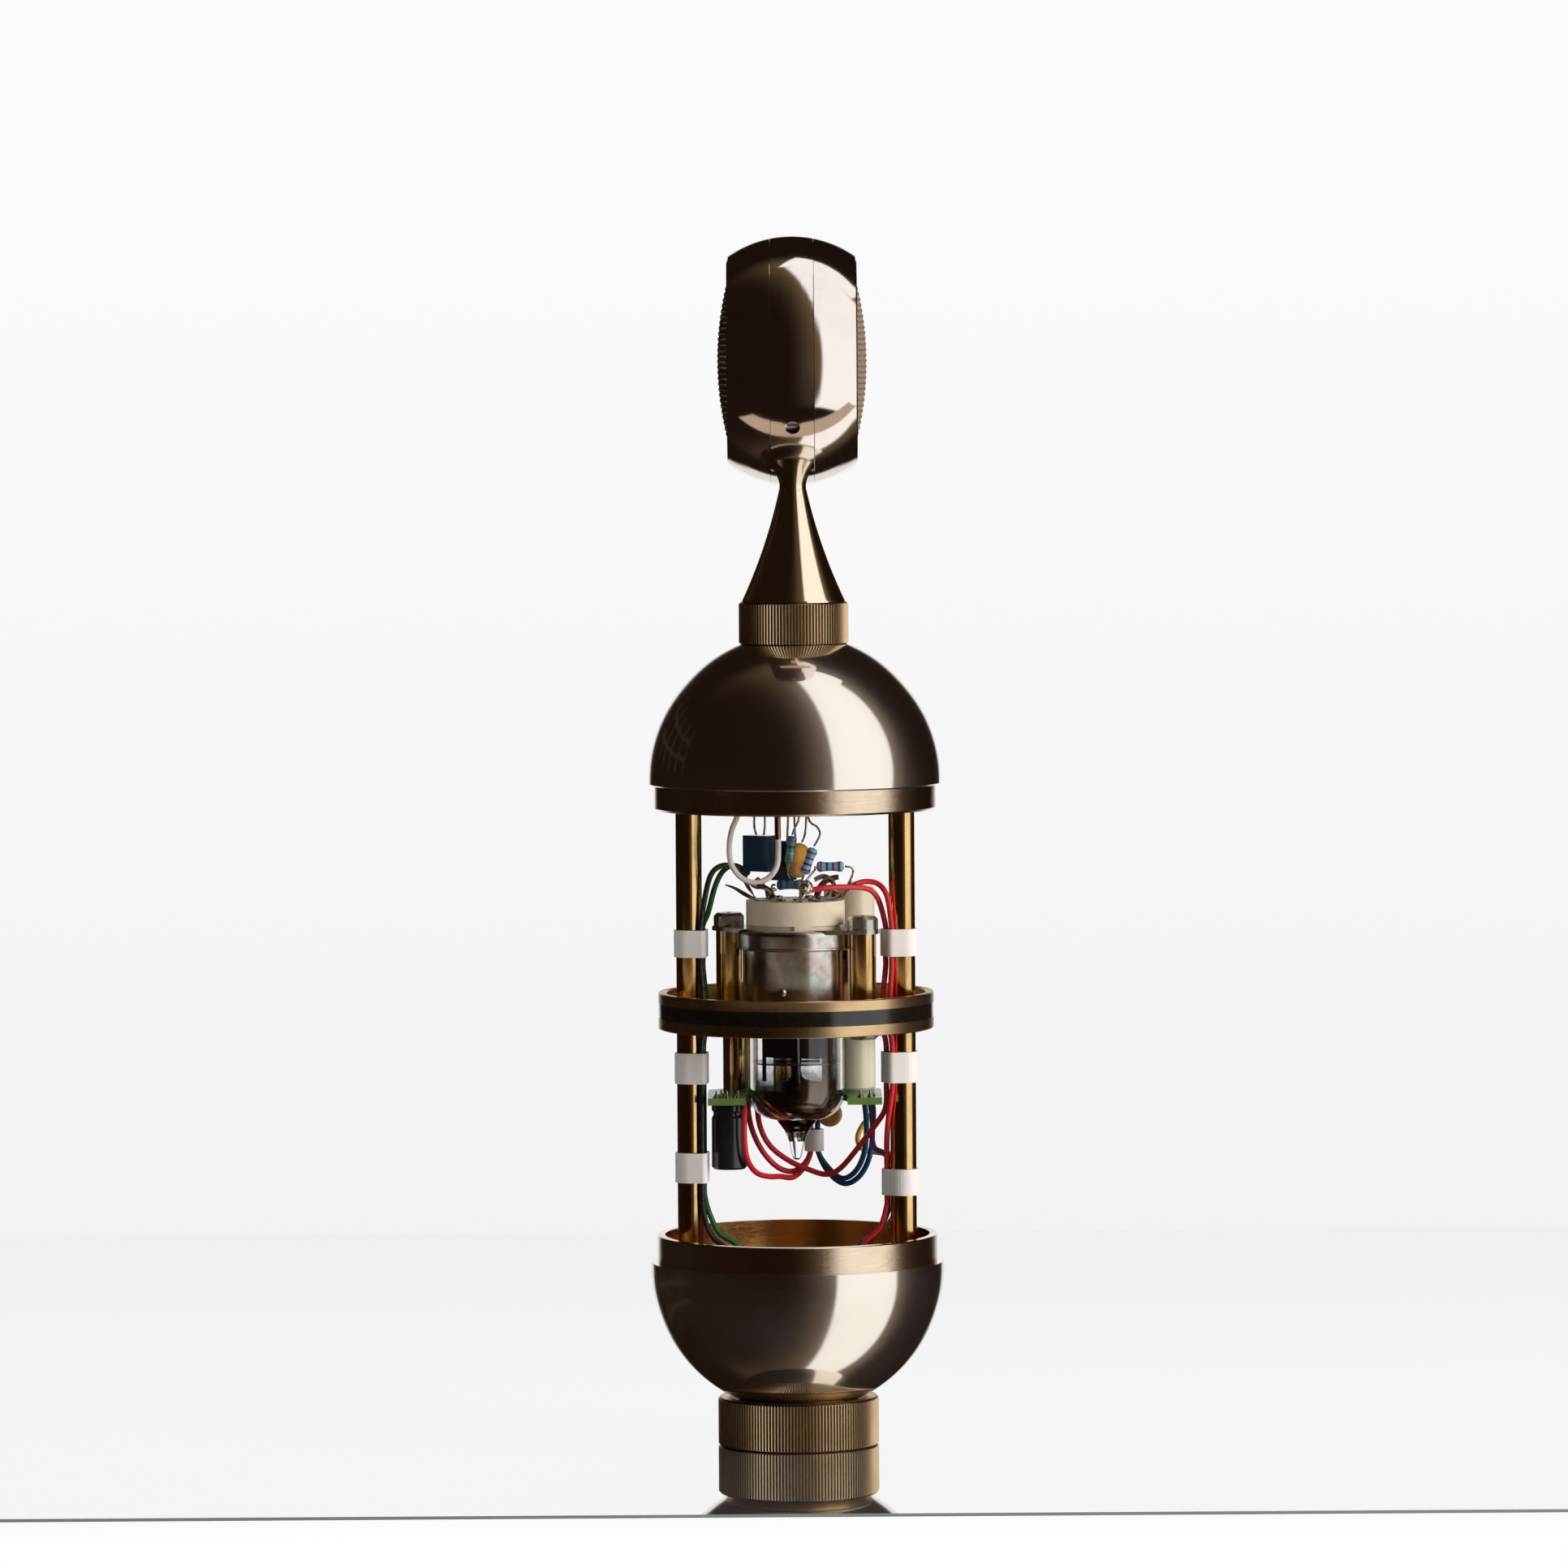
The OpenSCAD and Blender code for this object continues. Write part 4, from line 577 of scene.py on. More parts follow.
ENAMEL = Moulded(
    "black_enamel", (0.006, 0.005, 0.004), (0.014, 0.010, 0.008), mottle=0.8, mottle_scale=500,
    grain_depth=0.004 * MM, roughness=0.16, coat=0.5)
GLASS = ClearGlass("tube_glass")
GETTER = GetterFilm("getter_film")
MICA = Moulded("mica", (0.20, 0.17, 0.16), (0.10, 0.08, 0.075), mottle=0.7, roughness=0.25, coat=0.3)
BOARD = Laminate("board_green")
BLACK_SLEEVE = Moulded(
    "capacitor_sleeve", (0.010, 0.010, 0.011), (0.03, 0.03, 0.03), roughness=0.2, coat=0.5,
    grain_depth=0.006 * MM, mottle_scale=90)
FILM_WRAP = Moulded(
    "film_wrap", (0.78, 0.72, 0.56), (0.60, 0.52, 0.36), mottle=0.4, mottle_scale=60, grain_depth=0.01 * MM,
    roughness=0.14, coat=0.8, subsurface=0.15)
OCHRE_DIP = Moulded(
    "ochre_dip", (0.62, 0.30, 0.055), (0.42, 0.18, 0.03), mottle=0.6, grain_depth=0.03 * MM, roughness=0.3,
    coat=0.4)
BLUE_DIP = Moulded(
    "blue_dip", (0.012, 0.055, 0.11), (0.004, 0.02, 0.05), mottle=0.7, mottle_scale=240,
    grain_depth=0.03 * MM, roughness=0.22, coat=0.5)
WHITE_VINYL = Moulded(
    "white_vinyl", (0.88, 0.85, 0.83), (0.76, 0.70, 0.66), mottle=0.3, grain_depth=0.008 * MM,
    roughness=0.36, subsurface=0.1)
WHITE_WIRE = Moulded(
    "white_wire", (0.78, 0.72, 0.64), (0.58, 0.47, 0.36), mottle=0.5, grain_depth=0.008 * MM, roughness=0.36)
RED_WIRE = insulation("red_wire", (0.62, 0.020, 0.030), (0.42, 0.012, 0.018), 0.26)
BLACK_WIRE = insulation("black_wire", (0.012, 0.011, 0.010), (0.05, 0.04, 0.03))
GREEN_WIRE = insulation("green_wire", (0.010, 0.12, 0.022), (0.005, 0.06, 0.012))
BLUE_WIRE = insulation("blue_wire", (0.008, 0.08, 0.20), (0.004, 0.03, 0.09))
YELLOW_WIRE = insulation("yellow_wire", (0.70, 0.45, 0.05), (0.48, 0.28, 0.03))
VIOLET_WIRE = insulation("violet_wire", (0.14, 0.05, 0.24), (0.07, 0.02, 0.12))
INSERT = Moulded("connector_insert", (0.02, 0.018, 0.016), (0.05, 0.045, 0.04), roughness=0.4)

NODE_FINISH: tuple[tuple[Finish, str], ...] = (
    (HEAD_BRASS, "head_center_ring head_ring_left head_ring_right"),
    (MESH_WIRE, "grille_left grille_right"),
    (STEEL, "head_screws capsule_screws pan_screws"),
    (PTFE, "capsule_mount stem_bush neck_socket"),
    (RESIN, "capsule_core"),
    (GOLD, "diaphragms stem_contact neck_contact connector_pins"),
    (RING_BRASS, "capsule_rings stem_nut dome_neck neck_nut mid_ring chassis_plate"),
    (STEM_BRASS, "head_stem"),
    (COLLAR_BRASS, "neck_collar"),
    (POLISHED, "dome bowl"),
    (SPIGOT_BRASS, "top_ring bottom_ring"),
    (TAG_BOARD, "terminal_board"),
    (ROD_BRASS, "upper_rods lower_rods upper_pillars lower_pillars"),
    (ENAMEL, "ring_band"),
    (ZINC, "socket_saddle shield_can"),
    (CERAMIC, "socket_ceramic"),
    (TIN, "socket_contacts tube_pins solder_joints component_leads"),
    (GLASS, "tube_glass"),
    (NICKEL, "tube_anode"),
    (MICA, "tube_micas"),
    (BOARD, "circuit_board"),
    (BLACK_SLEEVE, "electrolytic_capacitor"),
    (FILM_WRAP, "film_capacitor"),
    (OCHRE_DIP, "disc_capacitors"),
    (BLUE_DIP, "box_capacitors"),
    (Banded("resistor_plain"), "resistors"),
    (WHITE_WIRE, "wire_white"),
    (RED_WIRE, "wires_red"),
    (BLACK_WIRE, "wire_black"),
    (GREEN_WIRE, "wire_green"),
    (BLUE_WIRE, "wires_blue"),
    (YELLOW_WIRE, "wire_yellow"),
    (VIOLET_WIRE, "wire_violet"),
    (WHITE_VINYL, "cable_sleeves"),
    (INSERT, "connector_insert"),
    (KNURL_BRASS, "foot_ring"),
)

ROUND_WIRES = ("wire_white", "wires_red", "wire_black", "wire_green", "wires_blue", "wire_yellow",
               "wire_violet", "component_leads")


def dress(obj: Thing, finish: Finish) -> None:
    """Gives an object one finish all over."""
    obj.data.materials.clear()
    obj.data.materials.append(finish.material())


def dress_frame(nodes: dict[str, Thing]) -> None:
    """Dresses every CAD node and rounds the swept wires and leads.

    Args:
        nodes: the frame's node objects by name.
    """
    for finish, names in NODE_FINISH:
        for name in names.split():
            dress(nodes[name], finish)
    for name in ROUND_WIRES:
        weld = nodes[name].modifiers.new("weld", "WELD")
        weld.merge_threshold = WELD
        smooth = nodes[name].modifiers.new("round", "SUBSURF")
        smooth.levels = smooth.render_levels = 1


def deselect() -> None:
    """Leaves nothing selected and no mode but Object mode."""
    if bpy.context.object and bpy.context.object.mode != "OBJECT":
        bpy.ops.object.mode_set(mode="OBJECT")
    bpy.ops.object.select_all(action="DESELECT")


def settle(obj: Thing, name: str, finish: Finish, body: str) -> Thing:
    """Names a finished piece, puts its place into its mesh, smooths it and lets it ride.

    Args:
        obj: the new piece.
        name: its name.
        finish: its finish.
        body: the CAD body that it rides on.

    Returns:
        The same piece.
    """
    deselect()
    obj.select_set(True)
    bpy.context.view_layer.objects.active = obj
    bpy.ops.object.transform_apply(location=True, rotation=True, scale=True)
    bpy.ops.object.shade_smooth_by_angle(angle=SMOOTH_ANGLE)
    obj.name = name
    obj.data.name = name
    dress(obj, finish)
    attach(obj, body)
    LOG.info("piece %s rides on %s with %d faces", name, body, len(obj.data.polygons))
    return obj


def lathe(profile: Sequence[tuple[float, float]], steps: int = 48, close: bool = False) -> Thing:
    """Spins a profile of (radius, height) points about the vertical axis.

    Args:
        profile: the points, in metres, in order.
        steps: segments round the axis.
        close: whether the last point joins the first.

    Returns:
        The spun mesh object, with its normals outwards.
    """
    deselect()
    bpy.ops.mesh.primitive_plane_add(size=MM)
    obj = bpy.context.object
    bpy.ops.object.mode_set(mode="EDIT")
    mesh = bmesh.from_edit_mesh(obj.data)
    bmesh.ops.delete(mesh, geom=mesh.verts[:], context="VERTS")
    for layer in list(mesh.loops.layers.uv.values()):
        mesh.loops.layers.uv.remove(layer)
    verts = [mesh.verts.new((radius, 0, height)) for radius, height in profile]
    for first, second in zip(verts, verts[1:]):
        mesh.edges.new((first, second))
    if close:
        mesh.edges.new((verts[-1], verts[0]))
    bmesh.update_edit_mesh(obj.data)
    bpy.ops.mesh.select_all(action="SELECT")
    bpy.ops.mesh.spin(steps=steps, angle=math.tau, center=(0, 0, 0), axis=(0, 0, 1))
    bpy.ops.mesh.select_all(action="SELECT")
    bpy.ops.mesh.remove_doubles(threshold=WELD)
    bpy.ops.mesh.normals_make_consistent(inside=False)
    bpy.ops.object.mode_set(mode="OBJECT")
    return obj


def outline(rows: Sequence[tuple[float, float]], base: float = 0.0) -> list[tuple[float, float]]:
    """Turns (radius, height) pairs in millimetres over a base height into metres."""
    return [(radius * MM, base + height * MM) for radius, height in rows]


def places(rows: Sequence[Point], base: float = 0.0) -> list[Point]:
    """Turns points in millimetres over a base height into metres."""
    return [(x * MM, y * MM, base + z * MM) for x, y, z in rows]


def route_curve(points: Sequence[Point], kind: str) -> tuple[Thing, bpy.types.Spline]:
    """Starts a curve whose one spline has the points.

    Args:
        points: the route, in metres.
        kind: the spline's type.

    Returns:
        The curve object and its spline.
    """
    deselect()
    bpy.ops.curve.primitive_nurbs_path_add(radius=MM)
    obj = bpy.context.object
    obj.location = (0, 0, 0)
    obj.data.splines.clear()
    obj.data.dimensions = "3D"
    obj.data.use_fill_caps = True
    spline = obj.data.splines.new(kind)
    spline.points.add(len(points) - 1)
    for target, point in zip(spline.points, points):
        target.co = (*point, 1.0)
    return obj, spline


def tube_along(points: Sequence[Point], radius: float, sides: int = 2) -> Thing:
    """A round wire through points, made as a curve and turned into a mesh.

    Args:
        points: the route, in metres.
        radius: the wire's radius.
        sides: the curve's bevel resolution.

    Returns:
        The mesh object.
    """
    obj, _ = route_curve(points, "POLY")
    obj.data.bevel_depth = radius
    obj.data.bevel_resolution = sides
    bpy.ops.object.convert(target="MESH")
    return bpy.context.object


def ribbon_along(points: Sequence[Point], width: float, thick: float, tip: float = 1.0,
                 twist: float = 0.0) -> Thing:
    """A flat strip with round edges through points, made as a curve and turned into a mesh.

    Args:
        points: the route, in metres.
        width: the strip's width.
        thick: its thickness.
        tip: how wide its far end is, as a share of the width.
        twist: how far it turns about its route after its first point, in radians.

    Returns:
        The mesh object.
    """
    obj, spline = route_curve(points, "NURBS")
    for step, target in enumerate(spline.points):
        target.tilt = math.pi / 2 + twist * min(1.0, step / 2)
        target.radius = 1 + (tip - 1) * step / (len(points) - 1)
    spline.order_u = 3
    spline.use_endpoint_u = True
    spline.resolution_u = 5
    obj.data.twist_mode = "Z_UP"
    obj.data.extrude = (width - thick) / 2
    obj.data.bevel_depth = thick / 2
    obj.data.bevel_resolution = 1
    bpy.ops.object.convert(target="MESH")
    return bpy.context.object


def blob(place: Point, size: Point, seed: int) -> Thing:
    """A lump of solder with an uneven skin.

    Args:
        place: its middle over the socket's ceramic, in millimetres.
        size: its half sizes along X, Y and Z, in millimetres.
        seed: which way its skin is uneven.

    Returns:
        The mesh object.
    """
    deselect()
    bpy.ops.mesh.primitive_ico_sphere_add(subdivisions=4, radius=1, location=(seed, 0, 0))
    obj = bpy.context.object
    bpy.ops.object.transform_apply(location=True, rotation=True, scale=True)
    skin = bpy.data.textures.new("solder_skin", "CLOUDS")
    skin.noise_scale = SKIN_SCALE
    uneven = obj.modifiers.new("uneven", "DISPLACE")
    uneven.texture = skin
    uneven.strength = SKIN_DEPTH
    uneven.texture_coords = "LOCAL"
    bpy.ops.object.modifier_apply(modifier=uneven.name)
    middle, half = places([place], SOCKET_TOP)[0], places([size])[0]
    stretch = Matrix.Diagonal((*half, 1)) @ Matrix.Translation((-seed, 0, 0))
    obj.matrix_world = Matrix.Translation(middle) @ stretch
    return obj


def unite(parts: list[Thing]) -> Thing:
    """Joins several meshes into the first of them.

    Args:
        parts: the mesh objects.

    Returns:
        The joined object.
    """
    deselect()
    for part in parts:
        part.select_set(True)
    bpy.context.view_layer.objects.active = parts[0]
    bpy.ops.object.join()
    return bpy.context.object


@dataclass
class WovenGrille:
    """Domed face of woven wire in one side of the head."""

    side: int
    rim: float = 18.15 * MM
    proud: float = 2.3 * MM
    face: float = 14.85 * MM
    pitch: float = 1.275 * MM
    wire: float = 0.43 * MM
    lift: float = 0.42 * MM
    steps: int = 4

    def height(self, a: float, b: float) -> float:
        """How far the dome stands out at a place on the face."""
        ball = (self.rim ** 2 + self.proud ** 2) / (2 * self.proud)
        return math.sqrt(max(ball ** 2 - a * a - b * b, 0)) - ball + self.proud - self.wire - self.lift

    def strand(self, offset: float, index: int, along_y: bool) -> list[Point]:
        """Points of one wire, which goes over and under its neighbours.

        Args:
            offset: the wire's place across its run.
            index: its number, which sets whether it starts over or under.
            along_y: whether it runs along Y, or else along Z.

        Returns:
            The route in metres in the frame of the whole part.
        """
        half = math.sqrt(max(self.rim ** 2 - offset ** 2, 0))
        count = max(int(half / self.pitch * self.steps), 2)
        route = []
        for step in range(-count, count + 1):
            run = half * step / count
            sign = 1 if along_y else -1
            swing = sign * self.lift * math.cos(math.pi * (run / self.pitch + index))
            x = self.side * (self.face + self.height(offset, run) + swing)
            y, z = (run, offset) if along_y else (offset, run)
            route.append((x, y, HEAD_CENTER[2] + z))
        return route

    def build(self) -> None:
        """Weaves the wires of both directions and adds the pressed rim."""
        count = int(self.rim / self.pitch)
        parts = []
        for index in range(-count, count + 1):
            for along_y in (True, False):
                route = self.strand(index * self.pitch, index, along_y)
                parts.append(tube_along(route, self.wire, 0))
        rim = lathe([(self.rim - 0.5 * MM, self.face - 1.6 * MM), (self.rim, self.face - 1.6 * MM),
                     (self.rim, self.face - 0.15 * MM), (self.rim - 0.25 * MM, self.face + 0.02 * MM),
                     (self.rim - 0.5 * MM, self.face - 0.15 * MM)], steps=72, close=True)
        rim.matrix_world = Matrix.Translation(HEAD_CENTER) @ Matrix.Rotation(self.side * math.pi / 2, 4, "Y")
        parts.append(rim)
        piece = unite(parts)
        name = "woven_grille_right" if self.side > 0 else "woven_grille_left"
        settle(piece, name, MESH_WIRE, "head")
        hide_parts("grille_right" if self.side > 0 else "grille_left")


@dataclass
class GetterMirror:
    """The brown mirror on the inside of the tube's lower end."""

    inner: float = 10.05 * MM
    low: float = 75.25 * MM
    corner: float = 5.95 * MM
    top: float = 87.5 * MM
    steps: int = 12

    def build(self) -> None:
        """Spins a thin cup that lines the glass."""
        profile = [(1.2 * MM, self.low)]
        for step in range(self.steps + 1):
            angle = math.pi / 2 * step / self.steps
            profile.append((self.inner - self.corner + self.corner * math.sin(angle),
                            self.low + self.corner * (1 - math.cos(angle))))
        profile.append((self.inner, self.top))
        piece = lathe(profile, steps=72)
        settle(piece, "getter_mirror", GETTER, "tube")


@dataclass(frozen=True)
class Lug:
    """One bent solder lug: its route over the ceramic and its width in millimetres, its tip and its twist."""

    route: tuple[Point, ...]
    width: float = 1.9
    tip: float = 0.8
    twist: float = 0.9


LUGS = (
    Lug(((-5, -8, 0.2), (-5.1, -8.4, 1.6), (-6, -8.3, 3), (-7.6, -7.6, 3.6), (-9.4, -6.4, 3.4),
         (-11, -4.6, 4.4), (-11.8, -2, 5.4)), 2.1, 0.5),
    Lug(((-8.9, -3.2, 0.3), (-10.2, -3.6, 0.8), (-12.2, -3.9, 2), (-14.2, -4.2, 3.3), (-16, -4.4, 3.8)),
        tip=0.2),
    Lug(((0.6, -9.3, 0.2), (0.9, -9.6, 1.2), (1.5, -9.8, 2.2), (2, -9.8, 3.2)), 2.4),
    Lug(((6, -7.2, 0.2), (6.4, -7.8, 1), (7.1, -8.4, 1.8), (7.9, -9, 2.2)), 2.0),
    Lug(((9.1, -2.3, 0.2), (10.2, -2.8, 0.8), (11.6, -3, 2), (12.6, -3, 3.6))),
    Lug(((8.7, 3.5, 0.2), (9.4, 3.8, 1.4), (9, 4.2, 3.4), (7.4, 4.6, 4.9), (5.6, 4.6, 5), (4.4, 4.2, 4.2)),
        1.8),
    Lug(((5, 8, 0.2), (5.4, 8.6, 1.8), (6.6, 9.2, 3.4), (8.6, 9.6, 4.4), (10, 9.6, 4.5)), 1.8),
    Lug(((-6, 7.2, 0.2), (-6.6, 8, 1.6), (-7.6, 8.4, 3.2), (-9, 8, 4.4)), 1.8),
    Lug(((-9.1, 2.3, 0.2), (-9.9, 2.5, 1.4), (-10.8, 2.8, 2.8), (-11.6, 3.2, 4.2))),
)

GETTER_CUP = ((1.1, 3.2), (1.3, 2.0), (2.5, 0.9), (4.3, 0), (4.1, -0.2), (2.3, 0.7), (1.1, 1.9), (0.9, 3.2))
COLLET = ((0.56, 0.02), (0.95, 0.02), (0.95, 0.5), (0.84, 0.7), (0.66, 0.7), (0.56, 0.5))


@dataclass
class SocketMetal:
    """Lugs of the tube socket with the solder that holds the leads; its sizes are in millimetres."""

    pins: int = 9
    ring: float = 5.95
    middle: float = 7.5
    reach: float = 9.4
    first_pin: float = 130.0
    step: float = 36.0
    slot: str = "solder"

    def lugs(self) -> None:
        """Bends the lugs, with the bars that hold them and the rolled collets of the pins."""
        parts = [ribbon_along(places(lug.route, SOCKET_TOP), lug.width * MM, 0.35 * MM, lug.tip, lug.twist)
                 for lug in LUGS]
        for index in range(self.pins):
            angle = math.radians(self.first_pin + self.step * index)
            x, y = math.cos(angle), math.sin(angle)
            bar = [(x * r, y * r, 0.2) for r in (self.ring, self.middle, self.reach)]
            parts.append(ribbon_along(places(bar, SOCKET_TOP), 1.8 * MM, 0.3 * MM))
            collet = lathe(outline(COLLET), steps=20, close=True)
            collet.location = places([(x * self.ring, y * self.ring, 0)], SOCKET_TOP)[0]
            parts.append(collet)
        piece = settle(unite(parts), "solder_lugs", LUG_TIN, "body")
        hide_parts("socket_contacts")

    def solder(self) -> None:
        """Adds the lumps of solder: the large white one in front and the small dark ones."""
        bright = blob((2.4, -9.7, 3.5), (1.6, 1.3, 1.7), 3)
        settle(bright, "solder_front", BRIGHT_SOLDER, "body")
        dark = [blob((-10.8, -4.6, 4.2), (0.8, 0.6, 0.6), 7), blob((12.6, -3, 3.9), (0.7, 0.6, 0.55), 11),
                blob((-5.1, -8.3, 2.9), (0.9, 0.6, 0.5), 13)]
        settle(unite(dark), "solder_small", LUG_TIN, "body")

    def ends(self) -> None:
        """Adds the bared end of the white wire and the tags under the terminal board."""
        bare = tube_along(places([(-3.9, -6.9, 138.6), (-3.95, -6.7, 143), (-4, -6.4, 147.6)]), 0.74 * MM, 3)
        routes = ([(-9.1, 0.2, 147.7), (-9.05, 0.2, 146), (-9, 0.2, 144.4)],
                  [(-0.5, -5, 147.7), (0.1, -5.2, 146.7), (1.6, -5.4, 146.5), (2.2, -5.5, 145.6)])
        tags = [ribbon_along(places(route), 1.3 * MM, 0.35 * MM) for route in routes]
        settle(unite([bare, *tags]), "bared_end_and_tags", BURNT_TIN, "body")

    def build(self) -> None:
        """Builds all of it."""
        self.lugs()
        self.solder()
        self.ends()


@dataclass
class TubeInsides:
    """Getter holder under the lower mica, and a thin bright strip in front of the mica that is a painted
    highlight.
    """

    low: float = 82.0 * MM
    slot: str = "anode_grey"

    def build(self) -> None:
        """Builds the holder and the painted highlight strip."""
        cup = lathe(outline(GETTER_CUP, self.low), steps=40, close=True)
        bar = places([(-5.2, 0, 5.4), (-1.5, 0, 5.3), (5.4, 0, 5.5)], self.low)
        bar = ribbon_along(bar, 3.4 * MM, 0.5 * MM)
        post = tube_along(places([(-0.2, 0, 3), (-0.1, 0, 4.4), (0, 0, 6.4)], self.low), 1.2 * MM, 3)
        settle(unite([cup, bar, post]), "getter_holder", NICKEL, "tube")
        # a bright nickel strip where the glass shows only a highlight line: a painted highlight
        highlight_line = places([(0.7, -9.0, 79.2), (0.45, -9.45, 84), (0.4, -9.5, 98), (0.4, -9.5, 111)])
        settle(ribbon_along(highlight_line, 0.45 * MM, 0.12 * MM), "highlight_strip", HIGHLIGHT_NICKEL, "tube")


@dataclass
class Resistor:
    """One resistor body, which leans over by so many degrees and stands for its CAD solid."""

    name: str
    middle: Point
    lean: float
    finish: Finish
    length: float = 6.3 * MM
    radius: float = 1.25 * MM
    waist: float = 0.26 * MM

    def build(self) -> Thing:
        """Spins the body with its bulged ends and lays the UV map along it.

        Returns:
            The body.
        """
        half, neck = self.length / 2, self.radius - self.waist
        end = [(0.32 * MM, 0), (neck * 0.9, 0.08 * MM), (self.radius, 0.55 * MM), (self.radius, 1.15 * MM),
               (neck, 1.7 * MM)]
        piece = lathe([(r, -half + h) for r, h in end] + [(r, half - h) for r, h in reversed(end)], steps=24)
        layer = piece.data.uv_layers.new(name="along")
        for loop in piece.data.loops:
            place = piece.data.vertices[loop.vertex_index].co
            layer.data[loop.index].uv = (math.atan2(place.y, place.x) / math.tau, place.z / self.length + 0.5)
        smooth = piece.modifiers.new("smooth", "SUBSURF")
        smooth.levels = smooth.render_levels = 1
        bpy.ops.object.modifier_apply(modifier=smooth.name)
        turn = Matrix.Rotation(math.radians(self.lean), 4, "Y")
        piece.matrix_world = Matrix.Translation(self.middle) @ turn
        return settle(piece, self.name, self.finish, "body")


def resistors() -> list[Resistor]:
    """The four resistors over the socket, with their own bands.

    Returns:
        The resistors, the upright one first.
    """
    red, brown, black, grey = (0.30, 0.03, 0.03), (0.16, 0.06, 0.03), (0.03, 0.03, 0.03), (0.25, 0.25, 0.27)
    pale = Banded("resistor_pale", color=(0.16, 0.42, 0.64), bands=(red, black, red, brown))
    teal = Banded("resistor_teal", color=(0.03, 0.20, 0.24), bands=(brown, (0.30, 0.22, 0.05), black, brown))
    deep = Banded("resistor_deep", color=(0.02, 0.14, 0.30), bands=(black, (0.02, 0.06, 0.14), brown, grey))
    rows = (("upright", (-1.05, -5.6, 11.8), 6, teal), ("leaning", (3.1, -5.6, 9.2), 20, pale),
            ("level", (8, -4.2, 7.8), 90, pale), ("low", (-1.1, -2.4, 3.6), 90, deep))
    return [Resistor(f"resistor_{pose}", places([middle], SOCKET_TOP)[0], lean, finish)
            for pose, middle, lean, finish in rows]


@dataclass(frozen=True)
class Card:
    """A level glowing card that only mirrors show.

    The corners are its least and greatest X, then its least and greatest Y. The slant is factors of X and Y
    and an offset, whose sum is positive on the lit part. An upward card glows on its upper side alone.
    """

    name: str
    corners: tuple[float, float, float, float]
    height: float
    color: Color
    slant: Point
    upward: bool = False
    blur: float = 0.4 * MM

    def build(self) -> Thing:
        """Adds the card with its glow.

        Returns:
            The card.
        """
        deselect()
        left, right, front, back = self.corners
        center = ((left + right) / 2, (front + back) / 2, self.height)
        bpy.ops.mesh.primitive_plane_add(size=1, location=center)
        card = bpy.context.object
        card.name = self.name
        card.scale = (right - left, back - front, 1)
        bpy.ops.object.transform_apply(location=True, rotation=True, scale=True)
        finish = bpy.data.materials.new(self.name)
        tree = Tree(finish)
        x, y, _ = tree.split(tree.object_space())
        side = tree.plus(tree.times(x, self.slant[0]), tree.times(y, self.slant[1]))
        here = tree.spread(tree.plus(side, self.slant[2]), -self.blur, self.blur)
        if self.upward:
            below = tree.add("NewGeometry").outputs["Backfacing"]
            here = tree.times(here, tree.maths("SUBTRACT", 1.0, below))
        tree.surface(tree.mix(here, tree.add("BsdfTransparent"), tree.emission(self.color)))
        card.data.materials.append(finish)
        card.visible_camera = card.visible_diffuse = card.visible_shadow = card.visible_transmission = False
        return card


@dataclass(frozen=True)
class Lamp:
    """A soft square lamp that mirrors don't show, with its side in metres and its power in watts."""

    name: str
    place: Point
    size: float
    power: float
    aim: Point = (0, 0, 0.13)
    tone: Color = (1.0, 0.96, 0.92)

    def build(self) -> None:
        """Adds the lamp and turns it to its aim."""
        deselect()
        bpy.ops.object.light_add(type="AREA", location=self.place)
        lamp = bpy.context.object
        lamp.name = self.name
        lamp.data.size = self.size
        lamp.data.energy = self.power
        lamp.data.color = self.tone
        lamp.rotation_euler = (Vector(self.aim) - Vector(self.place)).to_track_quat("-Z", "Y").to_euler()
        lamp.visible_camera = lamp.visible_glossy = lamp.visible_transmission = False


